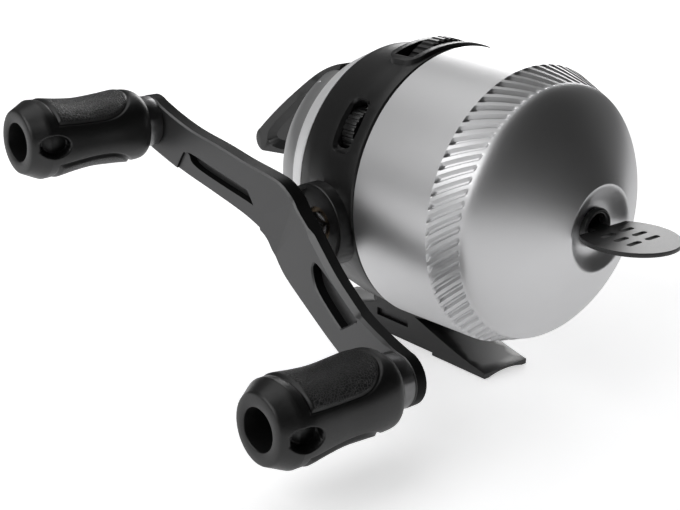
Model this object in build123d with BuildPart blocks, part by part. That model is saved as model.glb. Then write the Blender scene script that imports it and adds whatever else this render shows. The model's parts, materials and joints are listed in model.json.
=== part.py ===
from build123d import *
import os
from math import cos, radians, sin, sqrt

# Spincast fishing reel. Millimetres, +Z up, the front (line guide) towards -Y, the crank on -X.
# The origin is the middle of the foot's underside, straight below the crank axis.

# ---------------------------------------------------------------- driving dimensions
SPINDLE_Z = 43.1            # height of the spool axis above the foot
CRANK_Z = 36.25             # height of the crank axis, which crosses y = 0
RUN = 0.05                  # radial running clearance of every turning or sliding fit
GAP = 0.1                   # clearance between fixed neighbours

# front cover stations: y along the axis, then radius
COVER_REAR_Y, COVER_REAR_R = -11.3, 33.6
KNURL_REAR_Y, KNURL_REAR_R = -34.3, 33.0
KNURL_FRONT_Y, KNURL_FRONT_R = -41.6, 30.0
KNURL_COUNT = 70
KNURL_DEPTH = 0.75
KNURL_TWIST = 9.8           # degrees turned between the two ends of the fluted band
DIMPLE_Y, DIMPLE_R = -55.8, 10.3
NOSE_FLOOR_Y = -53.6
BOWL_FLOOR_R = 5.2
COVER_WALL = 1.3
GUIDE_HOLE_R = 3.4
GUIDE_SEAT_R = 4.0
GUIDE_LIP_R = 4.64

# frame and rear cover stations
FRAME_FRONT_Y, FRAME_FRONT_R = -10.5, 33.2
FRAME_REAR_Y, FRAME_REAR_R = 10.4, 31.3
SHELL_INNER_R = 30.0
SKIRT_R = COVER_REAR_R - COVER_WALL - GAP
SKIRT_Y = -18.5
RING_REAR_Y, RING_REAR_R = 17.1, 28.15
DOME_DEPTH = 17.0
REAR_WALL = 1.6
SPIGOT_R, SPIGOT_INNER_R = 28.6, 26.8
SPIGOT_Y = 12.6

# crank side
BOSS_R = 10.3
BOSS_X = 36.2
BOSS_RECESS_R = 9.2
BOSS_FLOOR_X = 34.5
CRANKSHAFT_R = 3.0
BUSHING_R = 4.5
CLUTCH_R = 8.0
CLUTCH_X0, CLUTCH_X1 = -27.5, -21.0
ARM_ANGLE = 22.4            # the rear half of the arm rises this much above +Y
CRANK_RADIUS = 49.0
ARM_FACE_X, ARM_BACK_X = -45.0, -40.6   # the arm's two faces at the crank axis
ARM_FACE_SLOPE, ARM_BACK_SLOPE = 0.13, 0.15
ARM_TIP_R = 6.3
KNOB_SEAT_X, KNOB_BACK_X = -51.0, -47.8 # flat for the collar and the end of the boss behind it
KNOB_INNER_X, KNOB_OUTER_X = -55.2, -87.2
POST_R = 2.5

# gears
GEAR_TEETH, PINION_TEETH = 36, 10
MESH_OFFSET = SPINDLE_Z - CRANK_Z
PINION_ROOT_R, PINION_TIP_R = 2.45, 3.57
GEAR_TIP_X, GEAR_ROOT_X, GEAR_BACK_X = -2.57, -3.72, -6.5
GEAR_INNER_R, GEAR_OUTER_R = 11.95, 14.6

# deck, spool and line pick-up
DECK_FRONT_Y, DECK_REAR_Y = -18.5, -16.5
HUB_R = 7.0
HUB_FRONT_Y = -38.5
BEARING_R = 4.55
JOURNAL_R = 3.0
SHAFT_R = 1.6
SPOOL_REAR_Y, SPOOL_FRONT_Y = -21.0, -36.5
SPOOL_REAR_R, SPOOL_FRONT_R = 24.0, 20.4
SPINNER_R = 22.6
SPINNER_FRONT_Y = -45.0
PIN_Y = -40.8
SHAFT_REAR_Y, SHAFT_FRONT_Y = 29.5, -47.6
SPRING_Y0, SPRING_Y1 = 19.0, 26.4

# thumb button
BUTTON_HALF = 13.0
PIVOT_Y, PIVOT_Z = 20.5, 64.0

# drag dial and alert switch
DIAL_R = 13.0
DIAL_Z = SPINDLE_Z + 34.8 - DIAL_R
DIAL_Y0, DIAL_Y1 = -6.5, -2.1
DRAG_SCREW_R = 2.0
ALERT_ANGLE = -57.5
ALERT_AXIS_R = 26.0
ALERT_R = 6.2
ALERT_Y0, ALERT_Y1 = -4.55, -0.75

# foot
FOOT_HALF_W, FOOT_HALF_L = 7.5, 31.5

SPINDLE = Axis((0, 0, SPINDLE_Z), (0, 1, 0))
# Half plane for turned profiles: local x runs along +Y, local y is the radius.
LATHE = Plane(origin=(0, 0, SPINDLE_Z), x_dir=(0, 1, 0), z_dir=(1, 0, 0))


def round_point(angle, radius):
    """x and z of a point at an angle from straight up, positive towards +X."""
    return radius * sin(radians(angle)), SPINDLE_Z + radius * cos(radians(angle))


def lathe_face(*points):
    """Closed (y, radius) outline, ready to revolve about the spindle."""
    with BuildSketch(LATHE) as face:
        with BuildLine():
            Polyline(*points, close=True)
        make_face()
    return face.sketch


def tube_face(y0, y1, inner, outer):
    """Rectangle between two stations and two radii."""
    return lathe_face((y0, inner), (y1, inner), (y1, outer), (y0, outer))


def across(y):
    """Plane square to the spindle at station y: local x is -X, local y is up."""
    return Plane(origin=(0, y, SPINDLE_Z), x_dir=(-1, 0, 0), z_dir=(0, 1, 0))


def along_y(x, y, z):
    """Plane facing +Y with its origin at a point."""
    return Plane(origin=(x, y, z), x_dir=(-1, 0, 0), z_dir=(0, 1, 0))


def along_x(x, y, z):
    """Plane facing +X with its origin at a point: local x is +Y, local y is up."""
    return Plane(origin=(x, y, z), x_dir=(0, 1, 0), z_dir=(1, 0, 0))


def disc(plane, radius):
    with BuildSketch(plane) as face:
        Circle(radius)
    return face.sketch


def ring(plane, inner, outer):
    with BuildSketch(plane) as face:
        Circle(outer)
        Circle(inner, mode=Mode.SUBTRACT)
    return face.sketch


def slab(x0, x1, y0, y1, z0, z1):
    """Placement and size of an axis-aligned box given by its limits."""
    return Location(((x0 + x1) / 2, (y0 + y1) / 2, (z0 + z1) / 2)), (x1 - x0, y1 - y0, z1 - z0)


def box(x0, x1, y0, y1, z0, z1, mode=Mode.ADD):
    place, size = slab(x0, x1, y0, y1, z0, z1)
    with Locations(place):
        Box(*size, mode=mode)


def save(builder, label):
    builder.part.label = label
    export_step(builder.part, f"parts/{label}.step")


# ---------------------------------------------------------------- front cover
def star(y, radius, turn):
    """Fluted cross-section: sharp ridges at the radius, valleys below it."""
    points = []
    for k in range(2 * KNURL_COUNT):
        angle = radians(turn + 180 * k / KNURL_COUNT)
        r = radius if k % 2 == 0 else radius - KNURL_DEPTH
        points.append((r * sin(angle), r * cos(angle)))
    with BuildSketch(Plane(origin=(0, y, SPINDLE_Z), x_dir=(1, 0, 0), z_dir=(0, -1, 0))) as face:
        with BuildLine():
            Polyline(*points, close=True)
        make_face()
    return face.sketch


def cover_outer():
    with BuildSketch(LATHE) as face:
        with BuildLine():
            Line((COVER_REAR_Y, 0), (COVER_REAR_Y, COVER_REAR_R))
            Line((COVER_REAR_Y, COVER_REAR_R), (KNURL_REAR_Y, KNURL_REAR_R))
            Line((KNURL_REAR_Y, KNURL_REAR_R), (KNURL_REAR_Y, KNURL_REAR_R - 1.0))
            Line((KNURL_REAR_Y, KNURL_REAR_R - 1.0), (KNURL_FRONT_Y, KNURL_FRONT_R - 1.0))
            Line((KNURL_FRONT_Y, KNURL_FRONT_R - 1.0), (KNURL_FRONT_Y, KNURL_FRONT_R - 0.2))
            Bezier(
                (KNURL_FRONT_Y, KNURL_FRONT_R - 0.2), (-45.6, 28.7), (-52.6, 16.5), (DIMPLE_Y, DIMPLE_R)
            )
            # rolled rim, then a soft bowl down to the guide's flat seat
            Bezier((DIMPLE_Y, DIMPLE_R), (-56.1, 9.3), (NOSE_FLOOR_Y, 7.9), (NOSE_FLOOR_Y, BOWL_FLOOR_R))
            Line((NOSE_FLOOR_Y, BOWL_FLOOR_R), (NOSE_FLOOR_Y, 0))
            Line((NOSE_FLOOR_Y, 0), (COVER_REAR_Y, 0))
        make_face()
    return face.sketch


def cover_inner():
    floor_y = NOSE_FLOOR_Y + COVER_WALL
    with BuildSketch(LATHE) as face:
        with BuildLine():
            Line((COVER_REAR_Y + 1, 0), (COVER_REAR_Y + 1, COVER_REAR_R - COVER_WALL))
            Line((COVER_REAR_Y + 1, COVER_REAR_R - COVER_WALL), (-20.5, COVER_REAR_R - COVER_WALL))
            Line((-20.5, COVER_REAR_R - COVER_WALL), (-21.3, 31.4))
            Line((-21.3, 31.4), (KNURL_REAR_Y + 0.6, 31.0))
            Line((KNURL_REAR_Y + 0.6, 31.0), (-41.0, 28.0))
            Bezier((-41.0, 28.0), (-44.2, 27.2), (-51.0, 15.6), (-53.3, 10.6))
            Line((-53.3, 10.6), (floor_y, 8.0))
            Line((floor_y, 8.0), (floor_y, 0))
            Line((floor_y, 0), (COVER_REAR_Y + 1, 0))
        make_face()
    return face.sketch


with BuildPart() as front_cover:
    revolve(cover_outer(), axis=SPINDLE)
    knurl_ends = [star(KNURL_REAR_Y, KNURL_REAR_R, 0), star(KNURL_FRONT_Y, KNURL_FRONT_R, KNURL_TWIST)]
    loft(knurl_ends, ruled=True)
    revolve(cover_inner(), axis=SPINDLE, mode=Mode.SUBTRACT)
    extrude(disc(across(NOSE_FLOOR_Y - 1), GUIDE_SEAT_R), amount=5, mode=Mode.SUBTRACT)

with BuildPart() as line_guide:
    lip_y = NOSE_FLOOR_Y - 1.6
    barrel_y = NOSE_FLOOR_Y + COVER_WALL
    with BuildSketch(LATHE) as guide_section:
        with BuildLine():
            Line((barrel_y, GUIDE_HOLE_R + 0.25), (barrel_y, GUIDE_SEAT_R))
            Line((barrel_y, GUIDE_SEAT_R), (NOSE_FLOOR_Y, GUIDE_SEAT_R))
            Line((NOSE_FLOOR_Y, GUIDE_SEAT_R), (NOSE_FLOOR_Y, GUIDE_LIP_R))
            Line((NOSE_FLOOR_Y, GUIDE_LIP_R), (lip_y + 0.7, GUIDE_LIP_R))
            ThreePointArc((lip_y + 0.7, GUIDE_LIP_R), (lip_y, GUIDE_LIP_R - 0.6), (lip_y + 0.5, GUIDE_HOLE_R))
            Line((lip_y + 0.5, GUIDE_HOLE_R), (barrel_y - 0.5, GUIDE_HOLE_R))
            Line((barrel_y - 0.5, GUIDE_HOLE_R), (barrel_y, GUIDE_HOLE_R + 0.25))
        make_face()
    revolve(axis=SPINDLE)

TAG_R = 11.0
TAG_Y = -63.8
with BuildPart() as line_tag:
    with BuildSketch(Plane.XY.offset(SPINDLE_Z - 0.5)) as tag_outline:
        with Locations((0, TAG_Y)):
            Circle(TAG_R)
        with Locations((0, -55.6)):
            Rectangle(4.6, 6.2)
        with Locations((0, TAG_Y)):
            with GridLocations(6.4, 3.4, 2, 3):
                SlotOverall(4.6, 1.3, mode=Mode.SUBTRACT)
        with Locations((-6.4, -54.2), (6.4, -54.2)):
            Rectangle(8.0, 4.2, mode=Mode.SUBTRACT)
    extrude(amount=1.0)

with BuildPart() as cover_seal:
    seal_face = tube_face(COVER_REAR_Y + 0.05, FRAME_FRONT_Y - 0.05, SKIRT_R + 0.02, FRAME_FRONT_R - 0.5)
    revolve(seal_face, axis=SPINDLE)


# ---------------------------------------------------------------- frame
ALERT_X, ALERT_Z = round_point(ALERT_ANGLE, ALERT_AXIS_R)
ALERT_AXLE_R = 1.2
DECK_SCREW_ANGLES = (45, 165, 285)
DECK_SCREW_RADIUS = 27.2
REAR_SCREW_ANGLES = (130, 230)
REAR_SCREW_RADIUS = 22.0
SCREW_R = 1.25
STEM_BOTTOM_Z = 8.3
STEM_HALF_L = 10.3
FOOT_SCREW_Y = 7.0
BAR_FRONT_Y, BAR_REAR_Y = 14.9, 17.0
LIP_R = 34.1


def on_shell(angle, radius, y):
    """Plane touching a cylinder about the spindle, facing outwards; local x runs round it."""
    x, z = round_point(angle, radius)
    a = radians(angle)
    return Plane(origin=(x, y, z), x_dir=(cos(a), 0, -sin(a)), z_dir=(sin(a), 0, cos(a)))


def radial_slots(y, angles, inner, outer, width):
    """Round-ended bars on the plane across(y), each lying along a radius."""
    with BuildSketch(across(y)) as face:
        for angle in angles:
            with PolarLocations((inner + outer) / 2, 1, start_angle=90 + angle):
                SlotCenterToCenter(outer - inner, width)
    return face.sketch


with BuildPart() as dial_lip:
    with BuildSketch(Plane.XY.offset(SPINDLE_Z + 26)) as lip_outline:
        with Locations((0, (DIAL_Y0 + DIAL_Y1) / 2)):
            RectangleRounded(28.4, 9.4, 3.5)
    extrude(amount=12)
    extrude(disc(across(-20), LIP_R), amount=40, mode=Mode.INTERSECT)

with BuildPart() as frame:
    # outside: shell, front skirt, rear spigot, crank bosses, stem and the lip of the dial slot
    revolve(
        lathe_face(
            (SKIRT_Y, 0), (SKIRT_Y, SKIRT_R), (FRAME_FRONT_Y, SKIRT_R),
            (FRAME_FRONT_Y, FRAME_FRONT_R - 0.4), (FRAME_FRONT_Y + 0.4, FRAME_FRONT_R), (0, 32.75),
            (FRAME_REAR_Y - 0.2, FRAME_REAR_R), (FRAME_REAR_Y, FRAME_REAR_R - 0.2),
            (FRAME_REAR_Y, SPIGOT_R), (SPIGOT_Y, SPIGOT_R), (SPIGOT_Y, 0),
        ),
        axis=SPINDLE,
    )
    extrude(disc(along_x(-BOSS_X, 0, CRANK_Z), BOSS_R), amount=2 * BOSS_X)
    with BuildSketch(Plane.XY.offset(STEM_BOTTOM_Z)) as stem_base:
        RectangleRounded(2 * FOOT_HALF_W, 2 * STEM_HALF_L, 3.0)
    extrude(amount=6)
    add(dial_lip.part)
    boss_rims = edges().filter_by(GeomType.CIRCLE).group_by(Axis.X)
    fillet(boss_rims[0] + boss_rims[-1], 0.4)
    # inside
    revolve(
        lathe_face(
            (SKIRT_Y - 1, 0), (SKIRT_Y - 1, SHELL_INNER_R), (6, SHELL_INNER_R),
            (9, SPIGOT_INNER_R), (SPIGOT_Y + 1, SPIGOT_INNER_R), (SPIGOT_Y + 1, 0),
        ),
        axis=SPINDLE,
        mode=Mode.SUBTRACT,
    )
    # clutch housing and the far bushing's housing
    extrude(disc(along_x(-31.5, 0, CRANK_Z), CLUTCH_R + 1.5), amount=11)
    extrude(disc(along_x(26.5, 0, CRANK_Z), BUSHING_R + 2.0), amount=5)
    # bosses for the deck screws, posts for the rear cover's screws, boss for the alert axle
    for angle in DECK_SCREW_ANGLES:
        screw_x, screw_z = round_point(angle, DECK_SCREW_RADIUS)
        extrude(disc(along_y(screw_x, DECK_REAR_Y, screw_z), 3.2), amount=8)
    extrude(radial_slots(4, REAR_SCREW_ANGLES, REAR_SCREW_RADIUS, 25.2, 6.4), amount=SPIGOT_Y - 4)
    extrude(disc(along_y(ALERT_X, ALERT_Y1 + 0.5, ALERT_Z), 4.4), amount=4)
    # lugs of the drag screw, in front of and behind the dial
    box(-4, 4, -12, DIAL_Y0 - 0.8, DIAL_Z - 4.5, SPINDLE_Z + SHELL_INNER_R + 0.6)
    box(-4, 4, DIAL_Y1 + 0.8, 4, DIAL_Z - 4.5, SPINDLE_Z + SHELL_INNER_R + 0.6)
    # bar that guides the rear end of the centre shaft
    box(-28, 28, 9.5, SPIGOT_Y, SPINDLE_Z - 4, SPINDLE_Z + 4)
    box(-25.4, 25.4, SPIGOT_Y, BAR_REAR_Y, SPINDLE_Z - 4, SPINDLE_Z + 4)
    box(-22, 22, 9, BAR_FRONT_Y, SPINDLE_Z - 5, SPINDLE_Z + 5, mode=Mode.SUBTRACT)
    extrude(disc(across(BAR_FRONT_Y), 3.4), amount=SPRING_Y0 - BAR_FRONT_Y)
    extrude(disc(across(BAR_FRONT_Y - 1), SHAFT_R + RUN), amount=8, mode=Mode.SUBTRACT)
    # crank recesses, bushing bores and the clutch pocket
    recess_depth = BOSS_X - BOSS_FLOOR_X
    extrude(disc(along_x(-BOSS_X, 0, CRANK_Z), BOSS_RECESS_R), amount=recess_depth, mode=Mode.SUBTRACT)
    extrude(disc(along_x(BOSS_FLOOR_X, 0, CRANK_Z), BOSS_RECESS_R), amount=recess_depth, mode=Mode.SUBTRACT)
    extrude(disc(along_x(-BOSS_X, 0, CRANK_Z), BUSHING_R + 0.02), amount=2 * BOSS_X, mode=Mode.SUBTRACT)
    extrude(disc(along_x(CLUTCH_X0, 0, CRANK_Z), CLUTCH_R + 0.05), amount=8, mode=Mode.SUBTRACT)
    # dial slot and drag screw bore
    box(-12.5, 12.5, DIAL_Y0 - 0.8, DIAL_Y1 + 0.8, SPINDLE_Z + 20, SPINDLE_Z + 40, mode=Mode.SUBTRACT)
    extrude(disc(along_y(0, -13, DIAL_Z), DRAG_SCREW_R + RUN), amount=18, mode=Mode.SUBTRACT)
    # recess and window of the alert switch
    with BuildSketch(on_shell(-58.5, 33.2, -3.15)) as alert_recess:
        RectangleRounded(15.4, 7.7, 2.6)
    extrude(amount=-2.0, taper=38, mode=Mode.SUBTRACT)
    with BuildSketch(on_shell(-57.5, 34.0, (ALERT_Y0 + ALERT_Y1) / 2)) as alert_window:
        RectangleRounded(11.8, ALERT_Y1 - ALERT_Y0 + 0.5, 1.5)
    extrude(amount=-6, mode=Mode.SUBTRACT)
    extrude(disc(along_y(ALERT_X, -2, ALERT_Z), ALERT_AXLE_R + RUN), amount=5.5, mode=Mode.SUBTRACT)
    # screw holes
    for angle in DECK_SCREW_ANGLES:
        screw_x, screw_z = round_point(angle, DECK_SCREW_RADIUS)
        deck_hole = disc(along_y(screw_x, DECK_REAR_Y - 1, screw_z), SCREW_R + RUN)
        extrude(deck_hole, amount=7.5, mode=Mode.SUBTRACT)
    for angle in REAR_SCREW_ANGLES:
        screw_x, screw_z = round_point(angle, REAR_SCREW_RADIUS)
        extrude(disc(along_y(screw_x, 6, screw_z), SCREW_R + RUN), amount=8, mode=Mode.SUBTRACT)
    for y in (-FOOT_SCREW_Y, FOOT_SCREW_Y):
        with BuildSketch(Plane.XY.offset(STEM_BOTTOM_Z - 1)) as stem_hole:
            with Locations((0, y)):
                Circle(1.5 + RUN)
        extrude(amount=4.2, mode=Mode.SUBTRACT)


# ---------------------------------------------------------------- foot
BLADE_TIP_Z = 1.3
NOTCH_HALF_L = 13.5

with BuildPart() as reel_foot:
    with BuildSketch(Plane.YZ.offset(-FOOT_HALF_W)) as foot_side:
        with BuildLine() as foot_outline:
            Line((0, 0), (-FOOT_HALF_L, 0))
            Line((-FOOT_HALF_L, 0), (-FOOT_HALF_L, BLADE_TIP_Z))
            Spline(
                (-FOOT_HALF_L, BLADE_TIP_Z), (-18.6, 4.4), (-6.5, STEM_BOTTOM_Z),
                tangents=((1, 0.18), (1, 0.3)),
            )
            Line((-6.5, STEM_BOTTOM_Z), (0, STEM_BOTTOM_Z))
            mirror(about=Plane.YZ)
        make_face()
    extrude(amount=2 * FOOT_HALF_W)
    # arched channels under both blades leave side rails and a flat middle in one plane
    for end in (-1, 1):
        with BuildSketch(Plane.XZ.offset(-end * (FOOT_HALF_L + 1))) as channel:
            with BuildLine():
                ThreePointArc((-6.0, 0), (0, 0.8), (6.0, 0))
                Line((6.0, 0), (-6.0, 0))
            make_face()
        extrude(amount=end * 15.0, mode=Mode.SUBTRACT)
    # stepped lower edges of the middle, and a shallow pocket in each flank
    for side in (-1, 1):
        notch_x = sorted((side * (FOOT_HALF_W - 1.2), side * (FOOT_HALF_W + 1)))
        pocket_x = sorted((side * (FOOT_HALF_W - 1.0), side * (FOOT_HALF_W + 1)))
        box(*notch_x, -NOTCH_HALF_L, NOTCH_HALF_L, -1, 1.6, mode=Mode.SUBTRACT)
        box(*pocket_x, -4.5, 7.0, 4.6, 6.6, mode=Mode.SUBTRACT)
    for y in (-FOOT_SCREW_Y, FOOT_SCREW_Y):
        with Locations(Plane(origin=(0, y, 0), z_dir=(0, 0, -1))):
            CounterSinkHole(1.5 + RUN, 3.1)

with BuildPart() as foot_screws:
    for y in (-FOOT_SCREW_Y, FOOT_SCREW_Y):
        with BuildSketch(Plane(origin=(0, y, 0), x_dir=(1, 0, 0), z_dir=(0, -1, 0))) as foot_screw:
            with BuildLine():
                Polyline((0, 0.3), (2.75, 0.3), (1.5, 1.6), (1.5, 11.2), (0, 11.2), close=True)
            make_face()
        revolve(axis=Axis((0, y, 0), (0, 0, 1)))


# ---------------------------------------------------------------- rear cover
WINDOW_LOW_Z = 37.5
PIVOT_PIN_R = 1.0
PIVOT_PIN_HALF = 17.0


def dome_face(y0, wall):
    """Half section of the rear cover's dome, shrunk by a wall thickness."""
    with BuildSketch(LATHE) as face:
        with BuildLine():
            Line((y0, 0), (y0, RING_REAR_R - wall))
            Line((y0, RING_REAR_R - wall), (RING_REAR_Y, RING_REAR_R - wall))
            EllipticalCenterArc(
                (RING_REAR_Y, 0), DOME_DEPTH - wall, RING_REAR_R - wall, start_angle=0, arc_size=90
            )
            Line((RING_REAR_Y + DOME_DEPTH - wall, 0), (y0, 0))
        make_face()
    return face.sketch


with BuildPart() as cover_envelope:
    revolve(dome_face(RING_REAR_Y - 1, 0), axis=SPINDLE)
    ring_face = lathe_face(
        (FRAME_REAR_Y, 0), (FRAME_REAR_Y, FRAME_REAR_R), (RING_REAR_Y, RING_REAR_R), (RING_REAR_Y, 0)
    )
    revolve(ring_face, axis=SPINDLE)

with BuildPart() as rear_cover:
    add(cover_envelope.part)
    revolve(dome_face(RING_REAR_Y - 2, REAR_WALL), axis=SPINDLE, mode=Mode.SUBTRACT)
    revolve(
        lathe_face(
            (FRAME_REAR_Y - 1, 0), (FRAME_REAR_Y - 1, SPIGOT_R + GAP), (SPIGOT_Y + GAP, SPIGOT_R + GAP),
            (SPIGOT_Y + GAP, 28.0), (RING_REAR_Y, RING_REAR_R - REAR_WALL), (RING_REAR_Y, 0),
        ),
        axis=SPINDLE,
        mode=Mode.SUBTRACT,
    )
    # inner posts of the two screws and the lugs of the button's pivot pin
    for angle in REAR_SCREW_ANGLES:
        screw_x, screw_z = round_point(angle, REAR_SCREW_RADIUS)
        extrude(disc(along_y(screw_x, SPIGOT_Y + GAP, screw_z), 4.2), amount=18)
    for side in (-1, 1):
        lug_x = sorted((side * (BUTTON_HALF + 0.6), side * (PIVOT_PIN_HALF + 0.8)))
        box(lug_x[0], lug_x[1], RING_REAR_Y + 0.3, PIVOT_Y + 3.2, PIVOT_Z - 3.2, PIVOT_Z + 6)
    add(cover_envelope.part, mode=Mode.INTERSECT)
    # window for the button, pin bore, screw holes and head pockets
    box(-BUTTON_HALF - 0.5, BUTTON_HALF + 0.5, RING_REAR_Y, 60, WINDOW_LOW_Z, 90, mode=Mode.SUBTRACT)
    extrude(
        disc(along_x(-PIVOT_PIN_HALF - 0.1, PIVOT_Y, PIVOT_Z), PIVOT_PIN_R + 0.02),
        amount=2 * PIVOT_PIN_HALF + 0.2,
        mode=Mode.SUBTRACT,
    )
    for angle in REAR_SCREW_ANGLES:
        screw_x, screw_z = round_point(angle, REAR_SCREW_RADIUS)
        extrude(disc(along_y(screw_x, SPIGOT_Y, screw_z), SCREW_R + RUN), amount=12, mode=Mode.SUBTRACT)
        extrude(disc(along_y(screw_x, 22.0, screw_z), 3.0), amount=12, mode=Mode.SUBTRACT)

with BuildPart() as rear_cover_screws:
    for angle in REAR_SCREW_ANGLES:
        screw_x, screw_z = round_point(angle, REAR_SCREW_RADIUS)
        extrude(disc(along_y(screw_x, 6.5, screw_z), SCREW_R), amount=15.6)
        extrude(disc(along_y(screw_x, 22.05, screw_z), 2.6), amount=1.9)
        with BuildSketch(along_y(screw_x, 22.8, screw_z)) as cross_slot:
            Rectangle(3.0, 0.7)
            Rectangle(0.7, 3.0)
        extrude(amount=2, mode=Mode.SUBTRACT)


# ---------------------------------------------------------------- thumb button and its pin
NOSE_Y = SHAFT_REAR_Y + 0.15
NOSE_R = 2.4

with BuildPart() as thumb_button:
    with BuildSketch(Plane.YZ.offset(-BUTTON_HALF)) as button_side:
        with BuildLine():
            Spline((17.7, 69.3), (31.8, 61.6), (50.0, 46.4), tangents=((1, -0.28), (0.72, -0.70)))
            ThreePointArc((50.0, 46.4), (51.4, 42.7), (48.6, 40.5))
            Line((48.6, 40.5), (32.0, 42.3))
            Line((32.0, 42.3), (17.7, 59.0))
            Line((17.7, 59.0), (17.7, 69.3))
        make_face()
    extrude(amount=2 * BUTTON_HALF)
    with BuildSketch(Plane.YZ.offset(-BUTTON_HALF + 1.6)) as button_hollow:
        with BuildLine():
            Spline((16.0, 67.4), (31.0, 59.4), (48.2, 45.2), tangents=((1, -0.28), (0.72, -0.70)))
            Line((48.2, 45.2), (48.4, 42.4))
            Line((48.4, 42.4), (31.0, 44.2))
            Line((31.0, 44.2), (10.0, 52.0))
            Line((10.0, 52.0), (16.0, 67.4))
        make_face()
    extrude(amount=2 * BUTTON_HALF - 3.2, mode=Mode.SUBTRACT)
    # rib and nose that push the centre shaft
    with BuildSketch(Plane.YZ.offset(-1.5)) as button_rib:
        with BuildLine():
            Polyline((31.5, 43.0), (49.0, 42.0), (49.0, 46.0), (33.0, 59.0), (30.6, 54.0), close=True)
        make_face()
    extrude(amount=3.0)
    extrude(disc(along_y(0, NOSE_Y, SPINDLE_Z), NOSE_R), amount=6)
    extrude(
        disc(along_x(-BUTTON_HALF - 1, PIVOT_Y, PIVOT_Z), PIVOT_PIN_R + RUN),
        amount=2 * BUTTON_HALF + 2,
        mode=Mode.SUBTRACT,
    )

with BuildPart() as button_pin:
    extrude(disc(along_x(-PIVOT_PIN_HALF, PIVOT_Y, PIVOT_Z), PIVOT_PIN_R), amount=2 * PIVOT_PIN_HALF)


# ---------------------------------------------------------------- drag dial and drag screw
DIAL_TEETH = 44
PAD_R = 3.2
PAD_FRONT_Y = -20.45
PAD_THICK = 1.1

with BuildPart() as drag_dial:
    extrude(disc(along_y(0, DIAL_Y0, DIAL_Z), DIAL_R), amount=DIAL_Y1 - DIAL_Y0)
    fillet(edges().filter_by(GeomType.CIRCLE), 0.6)
    with BuildSketch(along_y(0, DIAL_Y0 - 1, DIAL_Z)) as dial_notches:
        with PolarLocations(DIAL_R + 0.15, DIAL_TEETH):
            Circle(0.6)
    extrude(amount=DIAL_Y1 - DIAL_Y0 + 2, mode=Mode.SUBTRACT)
    extrude(disc(along_y(0, DIAL_Y0 - 1, DIAL_Z), DRAG_SCREW_R + RUN), amount=8, mode=Mode.SUBTRACT)

with BuildPart() as drag_screw:
    extrude(disc(along_y(0, PAD_FRONT_Y + PAD_THICK, DIAL_Z), DRAG_SCREW_R), amount=20.6)
    extrude(disc(along_y(0, -15.6, DIAL_Z), 3.2), amount=1.2)

with BuildPart() as drag_pad:
    extrude(disc(along_y(0, PAD_FRONT_Y, DIAL_Z), PAD_R), amount=PAD_THICK)


# ---------------------------------------------------------------- alert switch
ALERT_RIBS = 26
FINGER_Y0, FINGER_Y1 = -22.3, -21.2
FINGER_LENGTH = 4.0

with BuildPart() as alert_switch:
    with BuildSketch(along_y(ALERT_X, ALERT_Y0, ALERT_Z)) as alert_wheel:
        Circle(ALERT_R)
        with PolarLocations(ALERT_R + 0.1, ALERT_RIBS):
            Circle(0.38, mode=Mode.SUBTRACT)
    extrude(amount=ALERT_Y1 - ALERT_Y0)
    extrude(disc(along_y(ALERT_X, FINGER_Y0, ALERT_Z), ALERT_AXLE_R), amount=3.0 - FINGER_Y0)

alert_rad = radians(ALERT_ANGLE)
FINGER_PLANE = Plane(
    origin=(ALERT_X, FINGER_Y0, ALERT_Z), x_dir=(-cos(alert_rad), 0, sin(alert_rad)), z_dir=(0, 1, 0)
)
with BuildPart() as alert_clicker:
    with BuildSketch(FINGER_PLANE) as clicker_outline:
        Circle(1.9)
        with Locations((FINGER_LENGTH / 2, 0.4)):
            Rectangle(FINGER_LENGTH, 0.9)
        Circle(ALERT_AXLE_R + 0.01, mode=Mode.SUBTRACT)
    extrude(amount=FINGER_Y1 - FINGER_Y0)


# ---------------------------------------------------------------- deck, bearings and spool
BEARING_INNER_R = JOURNAL_R + RUN
CLIP_Y0, CLIP_Y1 = -37.4, -36.7

with BuildPart() as deck_plate:
    extrude(disc(across(DECK_FRONT_Y), SHELL_INNER_R - GAP), amount=DECK_REAR_Y - DECK_FRONT_Y)
    extrude(disc(across(HUB_FRONT_Y), HUB_R), amount=DECK_FRONT_Y - HUB_FRONT_Y)
    extrude(disc(across(HUB_FRONT_Y - 1), BEARING_R + 0.02), amount=30, mode=Mode.SUBTRACT)
    clip_groove = tube_face(CLIP_Y0 - 0.02, CLIP_Y1 + 0.02, HUB_R - 0.7, HUB_R + 1)
    revolve(clip_groove, axis=SPINDLE, mode=Mode.SUBTRACT)
    extrude(disc(along_y(0, DECK_FRONT_Y - 1, DIAL_Z), DRAG_SCREW_R + RUN), amount=5, mode=Mode.SUBTRACT)
    alert_hole = disc(along_y(ALERT_X, DECK_FRONT_Y - 1, ALERT_Z), ALERT_AXLE_R + RUN)
    extrude(alert_hole, amount=5, mode=Mode.SUBTRACT)
    for angle in DECK_SCREW_ANGLES:
        screw_x, screw_z = round_point(angle, DECK_SCREW_RADIUS)
        deck_hole = disc(along_y(screw_x, DECK_FRONT_Y - 1, screw_z), SCREW_R + RUN)
        extrude(deck_hole, amount=5, mode=Mode.SUBTRACT)

with BuildPart() as deck_screws:
    for angle in DECK_SCREW_ANGLES:
        screw_x, screw_z = round_point(angle, DECK_SCREW_RADIUS)
        extrude(disc(along_y(screw_x, DECK_FRONT_Y - 1.6, screw_z), 2.3), amount=1.55)
        extrude(disc(along_y(screw_x, DECK_FRONT_Y - 0.1, screw_z), SCREW_R), amount=7)

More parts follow.
